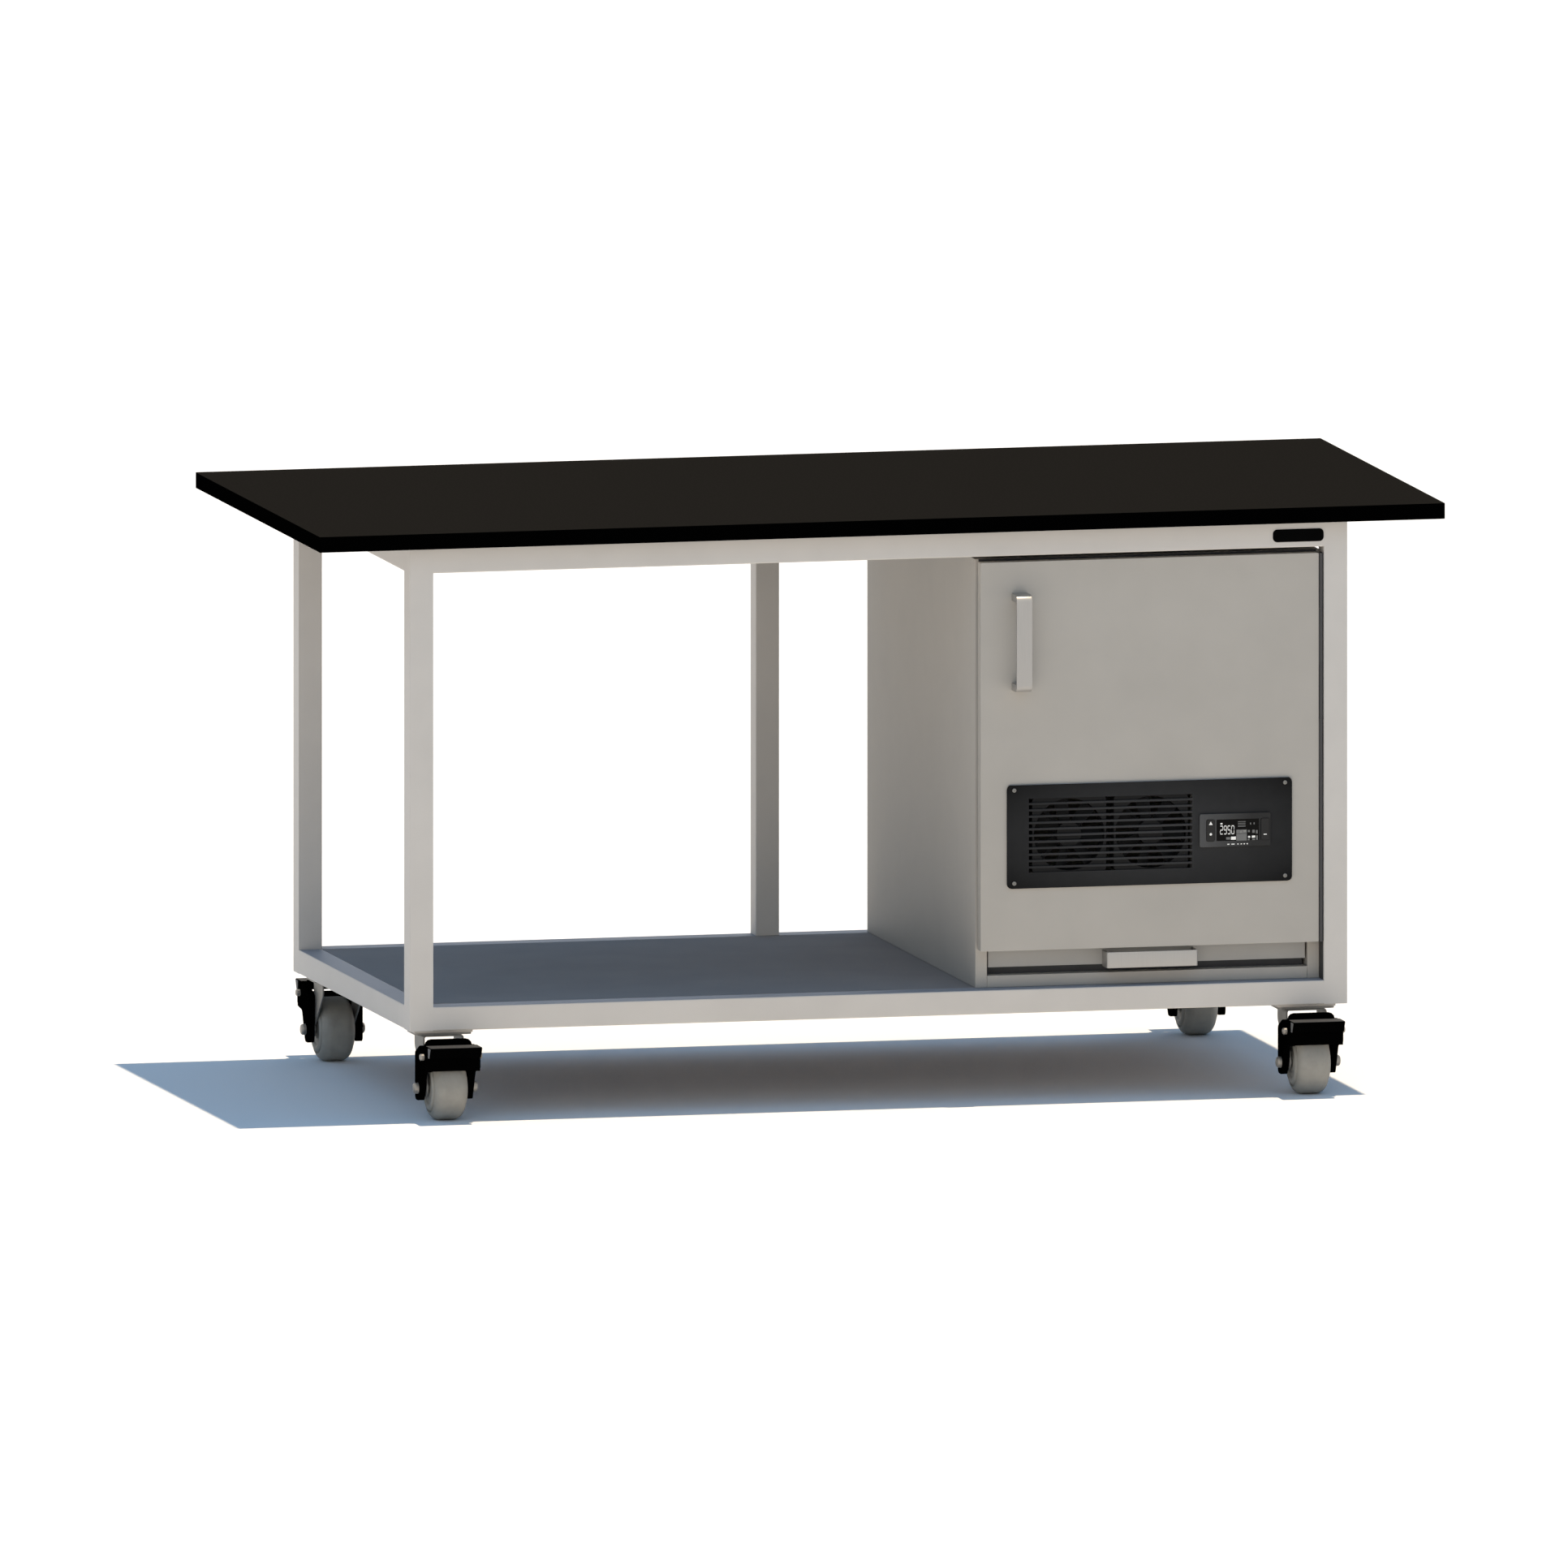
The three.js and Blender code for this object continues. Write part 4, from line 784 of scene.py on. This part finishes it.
def key_marks():
    """An up mark and a dot on the left key, and a bar on the right key, in the glowing segment material: a
    painted glow on print.
    """
    up_down = middle("key_up_down")
    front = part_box("key_up_down")[0].y
    arrow = np.array([(3.0, -2.2), (0, 3.2), (-3.0, -2.2)]) * MM
    disc = arc((0, 0), 2.0 * MM, 0, 345, 23)
    for name, outline, height in (("key_up_mark", arrow, 11.2 * MM), ("key_dot_mark", disc, -5.8 * MM)):
        spot = (up_down.x, front, up_down.z + height)
        mark = slab(name, outline, KEY_MARK_RISE, edge=0.02 * MM, origin=spot)
        # Painted glow on the printed key marks.
        finish_piece(mark, segment_and_print_glow, "up_down_key", "control_black")
    half_length = 2.6 * MM
    half_height = 0.7 * MM
    below_middle = 8.2 * MM
    x = middle("key_set").x
    z = middle("key_set").z - below_middle
    bar = [(x - half_length, x + half_length, z - half_height, z + half_height)]
    mark = blocks("key_set_mark", bar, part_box("key_set")[0].y, KEY_MARK_RISE)
    # Painted glow on the printed key mark.
    finish_piece(mark, segment_and_print_glow, "set_key", "control_black")


for corner in CORNERS:
    wheel(corner)
    axle_caps(corner)
    pedal_light_covers(corner)
door_handle()
tray_pull()
vent_screws()
badge()
ground_welds()
cabinet_trim()
display()
key_marks()

edge_widths = {
    "worktop": 0.8, "door_panel": 1.0, "vent_plate": 0.35,
    "controller": 0.5, "key_up_down": 0.5, "key_set": 0.5,
    "cabinet_left_side": 0.8, "cabinet_right_side": 0.8, "cabinet_top": 0.8, "cabinet_floor": 0.8,
    "lower_shelf": 0.8, "pull_out_tray": 0.6,
}
for corner in CORNERS:
    edge_widths[f"brake_housing_{corner}"] = 0.8
    edge_widths[f"brake_pedal_{corner}"] = 0.8
    edge_widths[f"caster_fork_{corner}"] = 0.4
for name, width in edge_widths.items():
    soften(name, width * MM)


# Floor, light and camera

def floor():
    """A wide pale floor that the wheels stand on."""
    half = 40.0
    grid = np.array([[(-half, -half, 0), (half, -half, 0)], [(-half, half, 0), (half, half, 0)]])
    plane = surface("floor", grid)
    finish = Finish("floor", (0.93, 0.93, 0.93), 0.9, specular=0.0)
    finish.set("Roughness", 0.85 + 0.1 * finish.noise(2.0))
    plane.data.materials.append(finish.material)


def sun(name, toward, strength, angle, color, glossy=True):
    """A light from far away. A strength of 1 shows a square-on matt face at its own colour."""
    light = bpy.data.lights.new(name, "SUN")
    light.energy = strength * np.pi
    light.angle = np.radians(angle)
    light.color = color
    lamp = bpy.data.objects.new(name, light)
    lamp.rotation_euler = Vector(toward).to_track_quat("Z", "Y").to_euler()
    lamp.visible_glossy = glossy
    bpy.context.scene.collection.objects.link(lamp)


def sky():
    """White to the camera and in reflections, and a dim cool light to matt faces."""
    world = bpy.data.worlds.new("sky")
    bpy.context.scene.world = world
    world.use_nodes = True
    shading = Shading(world.node_tree)
    ambient = shading.tree.nodes["Background"]
    shading.feed(ambient.inputs["Color"], (0.50, 0.72, 1.0, 1.0))
    shading.feed(ambient.inputs["Strength"], 0.20)
    cool = Value(shading, ambient.outputs[0])
    white = shading.node("ShaderNodeBackground", sockets={"Color": (1.0, 1.0, 1.0, 1.0)})
    camera_ray = shading.node("ShaderNodeLightPath", output="Is Camera Ray")
    glossy_ray = shading.node("ShaderNodeLightPath", output="Is Glossy Ray")
    clear_ray = shading.node("ShaderNodeLightPath", output="Is Transmission Ray")
    seen = camera_ray + glossy_ray + clear_ray
    choice = shading.node("ShaderNodeMixShader", sockets={0: seen, 1: cool, 2: white})
    shading.feed(shading.tree.nodes["World Output"].inputs["Surface"], choice)


def camera():
    """The photo's parallel view: from the front, turned a little to the left and raised a little.

    Turned by a and raised by e, it has (cos a, -sin a, 0) on its right and looks from
    (-cos e sin a, -cos e cos a, sin e).
    """
    turn = np.radians(13.54)
    rise = np.radians(7.228)
    centre = Vector((-0.1756, -0.4842, 0.5312))
    distance = 6.0
    view_width = 2.4776
    right = Vector((np.cos(turn), -np.sin(turn), 0))
    back = Vector((-np.cos(rise) * np.sin(turn), -np.cos(rise) * np.cos(turn), np.sin(rise)))
    up = back.cross(right)
    data = bpy.data.cameras.new("camera")
    data.type = "ORTHO"
    data.ortho_scale = view_width
    data.clip_end = 100.0
    eye = bpy.data.objects.new("camera", data)
    turned_to = Matrix((right, up, back)).transposed().to_4x4()
    eye.matrix_world = Matrix.Translation(centre + distance * back) @ turned_to
    bpy.context.scene.collection.objects.link(eye)
    bpy.context.scene.camera = eye


floor()
sun("high_sun", (0.142, 0.002, 1.0), strength=1.1, angle=0.6, color=(1.0, 0.83, 0.62))
sun("dome", (0.0, 0.0, 1.0), strength=0.34, angle=120.0, color=(0.42, 0.67, 1.0), glossy=False)
sun("front_fill", (-0.332, -0.964, 0.18), strength=0.155, angle=50.0, color=(1.0, 0.98, 0.94), glossy=False)
sky()
camera()

bpy.context.scene.view_settings.view_transform = "Standard"
